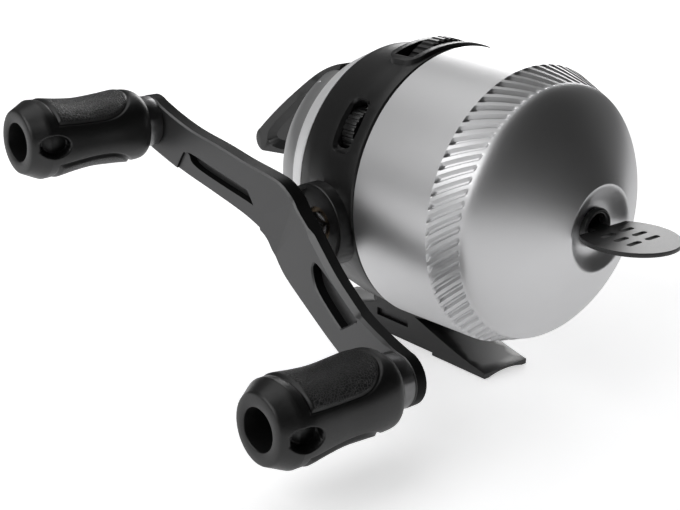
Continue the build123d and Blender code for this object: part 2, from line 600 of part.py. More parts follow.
with BuildPart() as pinion_bearings:
    revolve(
        lathe_face(
            (-24.0, BEARING_INNER_R), (-15.3, BEARING_INNER_R), (-15.3, 6.0), (DECK_REAR_Y + 0.02, 6.0),
            (DECK_REAR_Y + 0.02, BEARING_R), (-24.0, BEARING_R),
        ),
        axis=SPINDLE,
    )
    revolve(
        lathe_face(
            (-31.0, BEARING_INNER_R), (-39.6, BEARING_INNER_R), (-39.6, 6.2), (HUB_FRONT_Y - 0.02, 6.2),
            (HUB_FRONT_Y - 0.02, BEARING_R), (-31.0, BEARING_R),
        ),
        axis=SPINDLE,
    )

RATCHET_TEETH = 40
with BuildPart() as spool:
    revolve(
        lathe_face(
            (SPOOL_REAR_Y, HUB_R + RUN), (SPOOL_REAR_Y, SPOOL_REAR_R), (SPOOL_REAR_Y - 1.5, SPOOL_REAR_R),
            (SPOOL_REAR_Y - 2.0, 11.0), (SPOOL_FRONT_Y + 2.0, 11.0), (SPOOL_FRONT_Y + 1.3, SPOOL_FRONT_R),
            (SPOOL_FRONT_Y, SPOOL_FRONT_R), (SPOOL_FRONT_Y, HUB_R + RUN),
        ),
        axis=SPINDLE,
    )
    with BuildSketch(across(SPOOL_REAR_Y - 2.2)) as ratchet_gaps:
        with PolarLocations(SPOOL_REAR_R + 0.1, RATCHET_TEETH):
            Circle(0.7)
    extrude(amount=3, mode=Mode.SUBTRACT)

with BuildPart() as line_winding:
    revolve(
        lathe_face(
            (SPOOL_REAR_Y - 2.2, 11.05), (SPOOL_REAR_Y - 1.95, 18.4), (-28.7, 18.9),
            (SPOOL_FRONT_Y + 1.75, 18.4), (SPOOL_FRONT_Y + 2.1, 11.05),
        ),
        axis=SPINDLE,
    )

with BuildPart() as spool_clip:
    with BuildSketch(across(CLIP_Y0)) as clip_outline:
        Circle(9.4)
        Circle(HUB_R - 0.65, mode=Mode.SUBTRACT)
        with Locations((0, -8)):
            Rectangle(6.5, 10, mode=Mode.SUBTRACT)
    extrude(amount=CLIP_Y1 - CLIP_Y0)


# ---------------------------------------------------------------- gears
with BuildPart() as pinion_gear:
    with BuildSketch(across(-13.9)) as pinion_section:
        Circle(PINION_ROOT_R)
        with PolarLocations(0, PINION_TEETH):
            Polygon(
                (PINION_ROOT_R - 0.4, -0.45), (PINION_TIP_R, -0.18), (PINION_TIP_R, 0.18),
                (PINION_ROOT_R - 0.4, 0.45), align=None,
            )
    extrude(amount=5.4)
    extrude(disc(across(-40.2), JOURNAL_R), amount=26.4)
    with BuildSketch(across(-41)) as pinion_bore:
        Circle(SHAFT_R + RUN)
        Rectangle(2 * SHAFT_R + 1, 2.6, mode=Mode.INTERSECT)
    extrude(amount=34, mode=Mode.SUBTRACT)

GEAR_AXIS = Axis((0, 0, CRANK_Z), (1, 0, 0))
TOOTH_Y0 = -sqrt(GEAR_OUTER_R ** 2 - MESH_OFFSET ** 2)
TOOTH_Y1 = -sqrt(GEAR_INNER_R ** 2 - MESH_OFFSET ** 2)
with BuildPart() as gear_tooth:
    tooth_plane = Plane(origin=(0, TOOTH_Y0, SPINDLE_Z), x_dir=(0, 0, 1), z_dir=(0, 1, 0))
    with BuildSketch(tooth_plane) as tooth_section:
        Polygon(
            (-0.46, GEAR_ROOT_X - 0.4), (0.46, GEAR_ROOT_X - 0.4),
            (0.2, GEAR_TIP_X), (-0.2, GEAR_TIP_X), align=None
        )
    extrude(amount=TOOTH_Y1 - TOOTH_Y0)

with BuildPart() as drive_gear:
    extrude(disc(along_x(GEAR_BACK_X, 0, CRANK_Z), GEAR_OUTER_R), amount=GEAR_ROOT_X - GEAR_BACK_X)
    extrude(disc(along_x(-11.0, 0, CRANK_Z), 5.2), amount=5)
    with BuildSketch(along_x(GEAR_BACK_X, 0, CRANK_Z)) as gear_windows:
        with PolarLocations(8.2, 6):
            Circle(2.0)
    extrude(amount=6, mode=Mode.SUBTRACT)
    for k in range(GEAR_TEETH):
        add(gear_tooth.part.rotate(GEAR_AXIS, (k + 0.5) * 360 / GEAR_TEETH))
    extrude(disc(along_x(-12, 0, CRANK_Z), CRANKSHAFT_R + 0.02), amount=15, mode=Mode.SUBTRACT)


# ---------------------------------------------------------------- centre shaft, spring and spinner head
FLAT_HALF = 1.25
with BuildPart() as center_shaft:
    extrude(disc(across(SHAFT_FRONT_Y), SHAFT_R), amount=SHAFT_REAR_Y - SHAFT_FRONT_Y)
    fillet(edges().filter_by(GeomType.CIRCLE), 0.4)
    for side in (-1, 1):
        flat_z = sorted((side * FLAT_HALF, side * 3))
        box(-3, 3, -44.4, -3.0, SPINDLE_Z + flat_z[0], SPINDLE_Z + flat_z[1], mode=Mode.SUBTRACT)
    clip_slot = tube_face(SPRING_Y1 - 0.02, SPRING_Y1 + 0.82, SHAFT_R - 0.4, SHAFT_R + 1)
    revolve(clip_slot, axis=SPINDLE, mode=Mode.SUBTRACT)

with BuildPart() as shaft_clip:
    revolve(tube_face(SPRING_Y1, SPRING_Y1 + 0.8, SHAFT_R - 0.38, 4.0), axis=SPINDLE)

SPRING_WIRE_R = 0.25
SPRING_R = 2.6
SPRING_TURNS = 5
COIL_Y = SPRING_Y0 + SPRING_WIRE_R + 0.02
COIL_LENGTH = SPRING_Y1 - SPRING_Y0 - 2 * SPRING_WIRE_R - 0.04
with BuildPart() as shaft_spring:
    with BuildLine() as coil:
        Helix(
            pitch=COIL_LENGTH / SPRING_TURNS, height=COIL_LENGTH, radius=SPRING_R,
            center=(0, COIL_Y, SPINDLE_Z), direction=(0, 1, 0),
        )
    with BuildSketch(Plane(origin=coil.line @ 0, z_dir=coil.line % 0)) as wire_section:
        Circle(SPRING_WIRE_R)
    sweep()

with BuildPart() as spinner_head:
    with BuildSketch(LATHE) as spinner_section:
        with BuildLine():
            Line((SPINNER_FRONT_Y, SHAFT_R + 0.02), (SPINNER_FRONT_Y, 15.0))
            ThreePointArc((SPINNER_FRONT_Y, 15.0), (SPINNER_FRONT_Y + 1.6, 20.2), (-40.8, SPINNER_R))
            Line((-40.8, SPINNER_R), (-34.6, SPINNER_R))
            Line((-34.6, SPINNER_R), (-34.6, SPINNER_R - 1.4))
            Line((-34.6, SPINNER_R - 1.4), (-40.6, SPINNER_R - 1.4))
            Line((-40.6, SPINNER_R - 1.4), (-43.4, 15.0))
            Line((-43.4, 15.0), (-43.4, 4.4))
            Line((-43.4, 4.4), (-41.0, 4.4))
            Line((-41.0, 4.4), (-41.0, SHAFT_R + 0.02))
            Line((-41.0, SHAFT_R + 0.02), (SPINNER_FRONT_Y, SHAFT_R + 0.02))
        make_face()
    revolve(axis=SPINDLE)
    # guides of the two pick-up pins
    for side in (-1, 1):
        guide_x = sorted((side * 13.0, side * (SPINNER_R - 0.7)))
        box(guide_x[0], guide_x[1], -42.6, PIN_Y + 1.8, SPINDLE_Z - 2, SPINDLE_Z + 2)
        extrude(disc(along_x(side * 20, PIN_Y, SPINDLE_Z), 0.9), amount=side * 5, mode=Mode.SUBTRACT)
        extrude(disc(along_x(side * 20, PIN_Y, SPINDLE_Z), 0.9), amount=-side * 9, mode=Mode.SUBTRACT)

with BuildPart() as spinner_nut:
    with BuildSketch(across(SPINNER_FRONT_Y - 2.2)) as nut_outline:
        RegularPolygon(3.6, 6)
        Circle(SHAFT_R + 0.02, mode=Mode.SUBTRACT)
    extrude(amount=2.18)

PIN_OUT, PIN_LENGTH = 25.2, 11.0
pickup_pins = {}
for side, pin_name in ((-1, "pickup_pin_left"), (1, "pickup_pin_right")):
    with BuildPart() as pickup_pin:
        extrude(disc(along_x(side * PIN_OUT, PIN_Y, SPINDLE_Z), 0.85), amount=-side * PIN_LENGTH)
        fillet(edges().filter_by(GeomType.CIRCLE), 0.3)
    pickup_pins[pin_name] = pickup_pin


# ---------------------------------------------------------------- crankshaft side
ARM_COS, ARM_SIN = cos(radians(ARM_ANGLE)), sin(radians(ARM_ANGLE))
HANDLE_SCREW_R = 1.4


def arm_plane(x):
    """Plane facing +X whose local x runs along the arm, towards the rear knob."""
    return Plane(origin=(x, 0, CRANK_Z), x_dir=(0, ARM_COS, ARM_SIN), z_dir=(1, 0, 0))


with BuildPart() as crankshaft:
    extrude(disc(along_x(-34.3, 0, CRANK_Z), CRANKSHAFT_R), amount=68.6)
    with BuildSketch(arm_plane(-43.0)) as drive_square:
        RectangleRounded(5.0, 5.0, 0.6)
    extrude(amount=9.0)
    extrude(disc(along_x(-44, 0, CRANK_Z), HANDLE_SCREW_R + 0.05), amount=90, mode=Mode.SUBTRACT)

with BuildPart() as crank_bushings:
    for x in (-33.6, 28.2):
        extrude(ring(along_x(x, 0, CRANK_Z), CRANKSHAFT_R + RUN, BUSHING_R), amount=5.4)

with BuildPart() as clutch:
    race = ring(along_x(CLUTCH_X0 + 0.05, 0, CRANK_Z), 5.6, CLUTCH_R)
    extrude(race, amount=CLUTCH_X1 - CLUTCH_X0 - 0.05)
    extrude(ring(along_x(CLUTCH_X0 + 0.05, 0, CRANK_Z), CRANKSHAFT_R + RUN, CLUTCH_R), amount=0.8)
    extrude(ring(along_x(CLUTCH_X1 - 0.8, 0, CRANK_Z), CRANKSHAFT_R + RUN, CLUTCH_R), amount=0.8)

ROLLER_R = 1.15
with BuildPart() as clutch_rollers:
    with BuildSketch(along_x(CLUTCH_X0 + 1.0, 0, CRANK_Z)) as rollers:
        with PolarLocations(CRANKSHAFT_R + 0.06 + ROLLER_R, 6):
            Circle(ROLLER_R)
    extrude(amount=CLUTCH_X1 - CLUTCH_X0 - 1.95)

with BuildPart() as handle_screw:
    extrude(disc(along_x(-43.4, 0, CRANK_Z), HANDLE_SCREW_R), amount=77.8)
    extrude(disc(along_x(34.4, 0, CRANK_Z), 2.9), amount=2.2)
    with BuildSketch(along_x(35.6, 0, CRANK_Z)) as handle_screw_slot:
        Rectangle(6.5, 0.8)
    extrude(amount=2, mode=Mode.SUBTRACT)

with BuildPart() as crank_port_cap:
    extrude(disc(along_x(34.6, 0, CRANK_Z), BOSS_RECESS_R - GAP), amount=4.2)
    extrude(disc(along_x(36.3, 0, CRANK_Z), 9.6), amount=2.5)
    fillet(edges().filter_by(GeomType.CIRCLE).group_by(Axis.X)[-1], 0.8)
    extrude(disc(along_x(34, 0, CRANK_Z), 4.0), amount=3.2, mode=Mode.SUBTRACT)


# ---------------------------------------------------------------- handle arm
ARM_REACH = 57.0            # beyond both tips
TIP_BACK_X = ARM_BACK_X - ARM_BACK_SLOPE * ARM_REACH
TIP_FACE_X = ARM_FACE_X - ARM_FACE_SLOPE * ARM_REACH
SOCKET_X = -43.1            # bottom of the drive square's socket
REAR_POCKET_DEPTH, FRONT_POCKET_DEPTH = 1.2, 2.6


def arm_face_plane(side):
    """Plane on the sloping outer face of one half of the arm: local x runs out from the crank axis."""
    slope = ARM_FACE_SLOPE
    return Plane(
        origin=(ARM_FACE_X, 0, CRANK_Z),
        x_dir=(-slope, side * ARM_COS, side * ARM_SIN),
        z_dir=(-1, -slope * side * ARM_COS, -slope * side * ARM_SIN),
    )


def knob_place(side):
    """y and z of a knob's axis; side +1 is the rear knob."""
    return side * CRANK_RADIUS * ARM_COS, CRANK_Z + side * CRANK_RADIUS * ARM_SIN


BOW_PLANE = Plane(origin=(0, 0, CRANK_Z), x_dir=(0, ARM_COS, ARM_SIN), z_dir=(0, -ARM_SIN, ARM_COS))

with BuildPart() as handle_arm:
    # outline seen along the crank axis, cut to the bowed thickness
    with BuildSketch(arm_plane(-60)) as arm_outline:
        with BuildLine():
            Spline(
                (CRANK_RADIUS, ARM_TIP_R), (34.4, 6.4), (17.0, 9.1), (5.0, 11.0), (-2.1, 8.6), (-8.5, 7.4),
                (-19.6, 4.8), (-33.5, 3.6), (-CRANK_RADIUS, ARM_TIP_R),
            )
            Line((-CRANK_RADIUS, ARM_TIP_R), (-CRANK_RADIUS, -ARM_TIP_R))
            Spline(
                (-CRANK_RADIUS, -ARM_TIP_R), (-34.4, -9.2), (-19.9, -9.4), (-7.4, -8.9), (1.3, -6.6),
                (7.0, -4.0), (13.5, -3.8), (23.7, -4.7), (36.4, -6.0), (CRANK_RADIUS, -ARM_TIP_R),
            )
            Line((CRANK_RADIUS, -ARM_TIP_R), (CRANK_RADIUS, ARM_TIP_R))
        make_face()
        with Locations((CRANK_RADIUS, 0), (-CRANK_RADIUS, 0)):
            Circle(ARM_TIP_R)
    extrude(amount=24)
    with BuildSketch(BOW_PLANE) as arm_bow:
        with BuildLine():
            Polyline(
                (-ARM_REACH, -TIP_FACE_X), (0, -ARM_FACE_X), (ARM_REACH, -TIP_FACE_X),
                (ARM_REACH, -TIP_BACK_X), (0, -ARM_BACK_X), (-ARM_REACH, -TIP_BACK_X), close=True,
            )
        make_face()
    extrude(amount=20, both=True, mode=Mode.INTERSECT)
    # step along the lower edge of the rear half, closed slot in the front half
    with BuildSketch(arm_face_plane(1)) as rear_pocket:
        with BuildLine():
            Polyline(
                (38.0, 9.0), (35.9, 1.2), (33.4, -0.8), (14.0, -3.1), (10.4, -0.4), (6.8, 3.2), (6.0, 9.0),
                close=True,
            )
        make_face()
    extrude(amount=-REAR_POCKET_DEPTH, mode=Mode.SUBTRACT)
    with BuildSketch(arm_face_plane(-1)) as front_pocket:
        with BuildLine():
            Polyline(
                (13.6, 2.4), (14.8, -0.6), (18.2, -2.8), (28.2, -4.6), (29.6, -3.4), (31.4, -0.4), close=True
            )
        make_face()
    extrude(amount=-FRONT_POCKET_DEPTH, mode=Mode.SUBTRACT)
    # hub towards the frame, and a seat and boss at each knob
    extrude(disc(arm_plane(ARM_FACE_X + 2.5), 8.4), amount=7.3)
    for side in (-1, 1):
        knob_y, knob_z = knob_place(side)
        extrude(disc(along_x(KNOB_SEAT_X, knob_y, knob_z), ARM_TIP_R), amount=KNOB_BACK_X - KNOB_SEAT_X)
        extrude(disc(along_x(-56, knob_y, knob_z), POST_R + 0.02), amount=12, mode=Mode.SUBTRACT)
        extrude(disc(along_x(-56, knob_y, knob_z), 12.0), amount=KNOB_SEAT_X + 56, mode=Mode.SUBTRACT)
    with BuildSketch(arm_plane(SOCKET_X)) as square_socket:
        RectangleRounded(5.1, 5.1, 0.6)
    extrude(amount=9, mode=Mode.SUBTRACT)
    extrude(disc(arm_plane(SOCKET_X - 0.4), HANDLE_SCREW_R + 0.02), amount=1, mode=Mode.SUBTRACT)


# ---------------------------------------------------------------- knobs, posts, collars and screws
POST_OUTER_X, POST_INNER_X = -74.2, KNOB_BACK_X - GAP
SCREW_POCKET_X = -76.2      # floor of the hole in the knob's outer end
SCREW_POCKET_R = 4.5


def oval(x, knob, half_y, half_z):
    with BuildSketch(along_x(x, *knob)) as face:
        Ellipse(half_y, half_z)
    return face.sketch


# x, then half width along Y and half height of each cross-section
KNOB_SECTIONS = (
    (KNOB_INNER_X, 8.6, 8.4), (-61.0, 9.2, 8.3), (-71.0, 9.1, 7.8), (-81.0, 9.8, 8.9),
    (KNOB_OUTER_X, 9.4, 9.2),
)
knobs = {}
for side, knob_name in ((1, "knob_rear"), (-1, "knob_front")):
    place = knob_place(side)
    with BuildPart() as knob:
        loft([oval(x, place, half_y, half_z) for x, half_y, half_z in KNOB_SECTIONS])
        fillet(edges().group_by(Axis.X)[0], 1.4)
        fillet(edges().group_by(Axis.X)[-1], 0.8)
        pocket = disc(along_x(KNOB_OUTER_X, *place), SCREW_POCKET_R)
        extrude(pocket, amount=SCREW_POCKET_X - KNOB_OUTER_X, mode=Mode.SUBTRACT)
        bore = disc(along_x(KNOB_OUTER_X, *place), POST_R + RUN)
        extrude(bore, amount=KNOB_INNER_X - KNOB_OUTER_X, mode=Mode.SUBTRACT)
        for port in (-1, 1):
            port_plane = Plane(
                origin=(KNOB_OUTER_X - 3.0, place[0] + port * 13.0, place[1]), x_dir=(0, 0, 1),
                z_dir=(0.72, -0.7 * port, 0),
            )
            with BuildSketch(port_plane) as port_outline:
                Ellipse(2.2, 3.2)
            extrude(amount=11.5, mode=Mode.SUBTRACT)
    knobs[knob_name] = knob

with BuildPart() as knob_posts:
    for side in (-1, 1):
        extrude(disc(along_x(POST_OUTER_X, *knob_place(side)), POST_R), amount=POST_INNER_X - POST_OUTER_X)
        extrude(disc(along_x(POST_OUTER_X, *knob_place(side)), 1.05), amount=8, mode=Mode.SUBTRACT)

with BuildPart() as knob_collars:
    for side in (-1, 1):
        collar = ring(along_x(KNOB_INNER_X + GAP, *knob_place(side)), POST_R + 0.02, 6.2)
        extrude(collar, amount=KNOB_SEAT_X - KNOB_INNER_X - GAP - 0.02)

with BuildPart() as knob_screws:
    for side in (-1, 1):
        knob_y, knob_z = knob_place(side)
        extrude(disc(along_x(POST_OUTER_X - 0.05, knob_y, knob_z), 1.0), amount=7)
        extrude(disc(along_x(SCREW_POCKET_X - 1.2, knob_y, knob_z), 3.9), amount=1.15)
        extrude(disc(along_x(SCREW_POCKET_X - 0.1, knob_y, knob_z), 2.4), amount=2.05)
        with BuildSketch(along_x(SCREW_POCKET_X - 1.4, knob_y, knob_z)) as knob_screw_slot:
            Rectangle(4.4, 0.9)
            Rectangle(0.9, 4.4)
        extrude(amount=0.9, mode=Mode.SUBTRACT)


# ---------------------------------------------------------------- files
os.makedirs("parts", exist_ok=True)
PIECES = {
    "front_cover": front_cover, "line_guide": line_guide, "line_tag": line_tag, "cover_seal": cover_seal,
    "frame": frame, "reel_foot": reel_foot, "foot_screws": foot_screws,
    "rear_cover": rear_cover, "rear_cover_screws": rear_cover_screws,
    "thumb_button": thumb_button, "button_pin": button_pin,
    "drag_dial": drag_dial, "drag_screw": drag_screw, "drag_pad": drag_pad,
    "alert_switch": alert_switch, "alert_clicker": alert_clicker,
    "deck_plate": deck_plate, "deck_screws": deck_screws, "pinion_bearings": pinion_bearings,
    "spool": spool, "line_winding": line_winding, "spool_clip": spool_clip,
    "pinion_gear": pinion_gear, "drive_gear": drive_gear,
    "center_shaft": center_shaft, "shaft_clip": shaft_clip, "shaft_spring": shaft_spring,
    "spinner_head": spinner_head, "spinner_nut": spinner_nut,
    "crankshaft": crankshaft, "crank_bushings": crank_bushings,
    "anti_reverse_clutch": clutch, "clutch_rollers": clutch_rollers,
    "handle_screw": handle_screw, "crank_port_cap": crank_port_cap, "handle_arm": handle_arm,
    "knob_posts": knob_posts, "knob_collars": knob_collars, "knob_screws": knob_screws,
}
PIECES.update(pickup_pins)
PIECES.update(knobs)
for label, builder in PIECES.items():
    save(builder, label)
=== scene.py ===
import bmesh
import bpy
import json
import numpy as np
from math import cos, radians, sin
from mathutils import Matrix, Vector


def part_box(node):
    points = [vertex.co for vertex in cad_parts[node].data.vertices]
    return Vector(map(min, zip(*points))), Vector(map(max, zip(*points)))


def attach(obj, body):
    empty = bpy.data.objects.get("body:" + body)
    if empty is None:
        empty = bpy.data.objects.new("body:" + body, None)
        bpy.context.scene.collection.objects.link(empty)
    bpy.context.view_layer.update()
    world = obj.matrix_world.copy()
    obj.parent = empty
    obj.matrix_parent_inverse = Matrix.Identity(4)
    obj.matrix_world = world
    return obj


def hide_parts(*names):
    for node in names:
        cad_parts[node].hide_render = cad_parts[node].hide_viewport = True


# Spincast reel: materials, the pieces whose shape is finer than the frame's, and the studio.
# Blender's objects are in metres; the shapes below are drawn in millimetres and scaled by MM.
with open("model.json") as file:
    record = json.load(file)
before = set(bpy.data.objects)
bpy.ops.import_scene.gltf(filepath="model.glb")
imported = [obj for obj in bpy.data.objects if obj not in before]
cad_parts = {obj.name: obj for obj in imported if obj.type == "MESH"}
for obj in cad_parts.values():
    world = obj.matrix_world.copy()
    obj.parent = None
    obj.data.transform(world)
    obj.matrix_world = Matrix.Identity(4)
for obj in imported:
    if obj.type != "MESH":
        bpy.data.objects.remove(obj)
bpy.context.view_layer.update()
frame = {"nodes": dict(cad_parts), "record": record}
NODES = frame["nodes"]



def centre(node):
    low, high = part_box(node)
    return (low + high) / 2


MM = 0.001
SPINDLE_Z = centre("front_cover").z
RING_REAR_Y = 17.1 * MM         # where the rear cover's bright ring ends and its dome begins
WELD_DISTANCE = 0.002 * MM


# ---------------------------------------------------------------- materials
class Shader:
    """A Principled material being wired, with short ways to add the usual nodes."""

    def __init__(self, name):
        self.material = bpy.data.materials.new(name)
        self.material.use_nodes = True
        self.tree = self.material.node_tree
        self.tree.nodes.clear()
        self.output = self.tree.nodes.new("ShaderNodeOutputMaterial")
        self.surface = self.tree.nodes.new("ShaderNodeBsdfPrincipled")
        self.link(self.surface.outputs[0], self.output.inputs[0])
        self.coords = self.tree.nodes.new("ShaderNodeTexCoord").outputs["Object"]

    def link(self, source, target):
        self.tree.links.new(source, target)

    def put(self, target, value):
        """Links a socket or sets a plain value."""
        if isinstance(value, bpy.types.NodeSocket):
            self.link(value, target)
        else:
            target.default_value = value

    def set(self, **values):
        """Sets the Principled node's inputs, with _ for each space in their names."""
        for name, value in values.items():
            self.put(self.surface.inputs[name.replace("_", " ")], value)

    def math(self, operation, a, b=0.0):
        node = self.tree.nodes.new("ShaderNodeMath")
        node.operation = operation
        self.put(node.inputs[0], a)
        self.put(node.inputs[1], b)
        return node.outputs[0]

    def parts(self, vector):
        """X, Y and Z of a vector."""
        node = self.tree.nodes.new("ShaderNodeSeparateXYZ")
        self.link(vector, node.inputs[0])
        return node.outputs

    def join(self, x, y, z):
        node = self.tree.nodes.new("ShaderNodeCombineXYZ")
        for target, value in zip(node.inputs, (x, y, z)):
            self.put(target, value)
        return node.outputs[0]

    def noise(self, scale, detail=3.0, vector=None):
        """Noise whose scale counts its features in a metre, or in a unit of the vector given."""
        node = self.tree.nodes.new("ShaderNodeTexNoise")
        node.inputs["Scale"].default_value = scale
        node.inputs["Detail"].default_value = detail
        self.link(vector or self.coords, node.inputs["Vector"])
        return node.outputs[0]

    def cells(self, scale, feature="F1"):
        """Voronoi cells, counted in a metre."""
        node = self.tree.nodes.new("ShaderNodeTexVoronoi")
        node.feature = feature
        node.inputs["Scale"].default_value = scale
        self.link(self.coords, node.inputs["Vector"])
        return node.outputs["Distance"]

    def ramp(self, value, low, high, start=0.0, end=1.0):
        """Value from start..end remapped to low..high."""
        node = self.tree.nodes.new("ShaderNodeMapRange")
        self.put(node.inputs["Value"], value)
        node.inputs["From Min"].default_value = start
        node.inputs["From Max"].default_value = end
        node.inputs["To Min"].default_value = low
        node.inputs["To Max"].default_value = high
        return node.outputs[0]

    def tint(self, factor, dark, light):
        """Colour between two by a factor."""
        node = self.tree.nodes.new("ShaderNodeMix")
        node.data_type = "RGBA"
        self.put(node.inputs["Factor"], factor)
        node.inputs["A"].default_value = (*dark, 1)
        node.inputs["B"].default_value = (*light, 1)
        return node.outputs["Result"]

    def bump(self, height, distance, strength=0.5):
        node = self.tree.nodes.new("ShaderNodeBump")
        node.inputs["Strength"].default_value = strength
        node.inputs["Distance"].default_value = distance
        self.link(height, node.inputs["Height"])
        self.link(node.outputs[0], self.surface.inputs["Normal"])

    def facing_x(self, start, end):
        """0 on surfaces that face across the crank's axis, 1 on those that face along it."""
        normal = self.tree.nodes.new("ShaderNodeNewGeometry").outputs["Normal"]
        return self.ramp(self.math("ABSOLUTE", self.parts(normal)[0]), 0.0, 1.0, start, end)

    def seen(self):
        """1 where the camera looks at the surface itself, 0 in reflections."""
        return self.tree.nodes.new("ShaderNodeLightPath").outputs["Is Camera Ray"]

    def rings(self, fineness):
        """Coordinates that change along the spindle and outwards but not round it, for turned marks."""
        x, y, z = self.parts(self.coords)
        rise = self.math("SUBTRACT", z, SPINDLE_Z)
        squares = [self.math("MULTIPLY", side, side) for side in (x, rise)]
        radius = self.math("SQRT", self.math("ADD", *squares))
        return self.join(self.math("MULTIPLY", radius, fineness), self.math("MULTIPLY", y, fineness), 0.0)


def grey(value):
    return (value, value, value * 1.01)


def silver_cover():
    """Satin metallic, with fine marks from turning."""
    s = Shader("silver_cover")
    turned = s.noise(1.0, 4.0, s.rings(9000))
    s.set(
        Base_Color=s.tint(s.noise(90), grey(0.64), grey(0.68)),
        Metallic=1.0,
        Roughness=s.ramp(turned, 0.38, 0.46),
    )
    s.bump(turned, 0.00001, 0.25)
    return s.material


def rear_two_tone():
    """Bright ring in front, darker dome behind, parted at the edge between them."""
    s = Shader("rear_two_tone")
    behind = s.math("GREATER_THAN", s.parts(s.coords)[1], RING_REAR_Y)
    s.set(
        Base_Color=s.tint(behind, grey(0.86), grey(0.34)),
        Metallic=s.ramp(behind, 0.35, 0.6),
        Roughness=s.ramp(s.noise(700), 0.36, 0.44),
    )
    s.bump(s.noise(2500), 0.00002, 0.3)
    return s.material


def black_body():
    s = Shader("black_body")
    grain = s.noise(3200, 2.0)
    s.set(
        Base_Color=s.tint(s.noise(160), grey(0.005), grey(0.008)),
        Roughness=s.ramp(grain, 0.30, 0.40),
        Specular_IOR_Level=0.5,
    )
    s.bump(grain, 0.00002, 0.3)
    return s.material


def black_trim():
    s = Shader("black_trim")
    grain = s.noise(2600, 2.0)
    s.set(
        Base_Color=s.tint(s.noise(200), grey(0.004), grey(0.007)),
        Roughness=s.ramp(grain, 0.26, 0.36),
        Specular_IOR_Level=0.5,
    )
    s.bump(grain, 0.00002, 0.3)
    return s.material


def arm_metal():
    """Grey on the faces and bevels, near black on the sides."""
    s = Shader("arm_metal")
    grain = s.noise(2400, 3.0)
    facing = s.facing_x(0.35, 0.6)
    s.set(
        Base_Color=s.tint(facing, grey(0.008), grey(0.10)),
        Metallic=s.ramp(facing, 0.0, 0.8),
        Roughness=s.ramp(grain, 0.36, 0.46),
        Specular_IOR_Level=s.ramp(facing, 0.06, 0.3),
    )
    s.bump(grain, 0.00002, 0.3)
    return s.material


def arm_recess_painted_shade():
    """Black inside of the arm's groove and slot: painted shade where these pockets lie in shadow."""
    s = Shader("arm_recess_painted_shade")
    grain = s.noise(1800, 3.0)
    s.set(
        Base_Color=s.tint(grain, grey(0.004), grey(0.008)),
        Roughness=0.5,
        Specular_IOR_Level=0.25,
    )
    s.bump(grain, 0.00003, 0.3)
    return s.material


def soft_grip():
    s = Shader("soft_grip")
    pebble = s.cells(1600)
    s.set(
        Base_Color=s.tint(s.noise(250), grey(0.005), grey(0.008)),
        Roughness=s.ramp(pebble, 0.32, 0.42),
        Specular_IOR_Level=0.5,
    )
    s.bump(pebble, 0.00002, 0.2)
    return s.material


def grip_pad():
    """Leathery insert of the knobs."""
    s = Shader("grip_pad")
    creases = s.cells(1500, "DISTANCE_TO_EDGE")
    s.set(
        Base_Color=s.tint(s.noise(300), grey(0.005), grey(0.008)),
        Roughness=s.ramp(creases, 0.42, 0.6),
        Specular_IOR_Level=0.5,
    )
    s.bump(s.math("MINIMUM", creases, 0.12), 0.0015, 0.8)
    return s.material


def bright_metal():
    s = Shader("bright_metal")
    s.set(
        Base_Color=s.tint(s.noise(300), grey(0.16), grey(0.2)),
        Metallic=1.0,
        Roughness=s.ramp(s.noise(2000), 0.3, 0.4),
    )
    s.bump(s.noise(1200), 0.00001, 0.2)
    return s.material


def guide_ring():
    s = Shader("guide_ring")
    s.set(
        Base_Color=s.tint(s.noise(400), grey(0.03), grey(0.05)),
        Roughness=s.ramp(s.noise(1500), 0.08, 0.16),
    )
    s.bump(s.noise(1800), 0.000008, 0.2)
    return s.material


def tag_plastic():
    s = Shader("tag_plastic")
    grain = s.noise(3000)
    s.set(
        Base_Color=s.tint(s.noise(200), grey(0.012), grey(0.02)),
        Roughness=s.ramp(grain, 0.35, 0.45),
    )
    s.bump(grain, 0.00002, 0.3)
    return s.material


def steel():
    s = Shader("steel")
    turned = s.noise(1.0, 3.0, s.rings(6000))
    s.set(
        Base_Color=s.tint(s.noise(200), grey(0.42), grey(0.52)),
        Metallic=1.0,
        Roughness=s.ramp(turned, 0.22, 0.36),
    )
    s.bump(turned, 0.00001, 0.3)
    return s.material


def brass():
    """Dark oiled bronze."""
    s = Shader("brass")
    turned = s.noise(1.0, 3.0, s.rings(6000))
    s.set(
        Base_Color=s.tint(s.noise(260), (0.075, 0.055, 0.035), (0.11, 0.08, 0.05)),
        Metallic=0.9,
        Roughness=s.ramp(turned, 0.38, 0.5),
    )
    s.bump(turned, 0.00001, 0.3)
    return s.material


def zinc():
    s = Shader("zinc")
    cast = s.noise(900, 5.0)
    s.set(
        Base_Color=s.tint(cast, grey(0.30), grey(0.42)),
        Metallic=0.85,
        Roughness=s.ramp(cast, 0.4, 0.58),
    )
    s.bump(cast, 0.00006, 0.4)
    return s.material


def white_plastic():
    s = Shader("white_plastic")
    grain = s.noise(2200)
    s.set(
        Base_Color=s.tint(s.noise(200), (0.6, 0.59, 0.55), (0.7, 0.69, 0.65)),
        Roughness=s.ramp(grain, 0.35, 0.5),
    )
    s.bump(grain, 0.00002, 0.3)
    return s.material


def line():
    """Wound nylon: fine turns side by side along the spindle."""
    s = Shader("line")
    turns = s.math("SINE", s.math("MULTIPLY", s.parts(s.coords)[1], 22000.0))
    # The colour follows the same wave as the bump: painted shade between the turns, lighter on the turns
    # themselves.
    s.set(
        Base_Color=s.tint(s.ramp(turns, 0.3, 1.0), (0.42, 0.46, 0.5), (0.7, 0.75, 0.8)),
        Roughness=0.2,
        Transmission_Weight=0.25,
    )
    s.bump(turns, 0.0001, 0.6)
    return s.material


def felt():
    s = Shader("felt")
    fuzz = s.noise(5000, 6.0)
    s.set(Base_Color=s.tint(fuzz, (0.16, 0.14, 0.11), (0.34, 0.31, 0.26)), Roughness=0.95)
    s.bump(fuzz, 0.0002, 0.8)
    return s.material


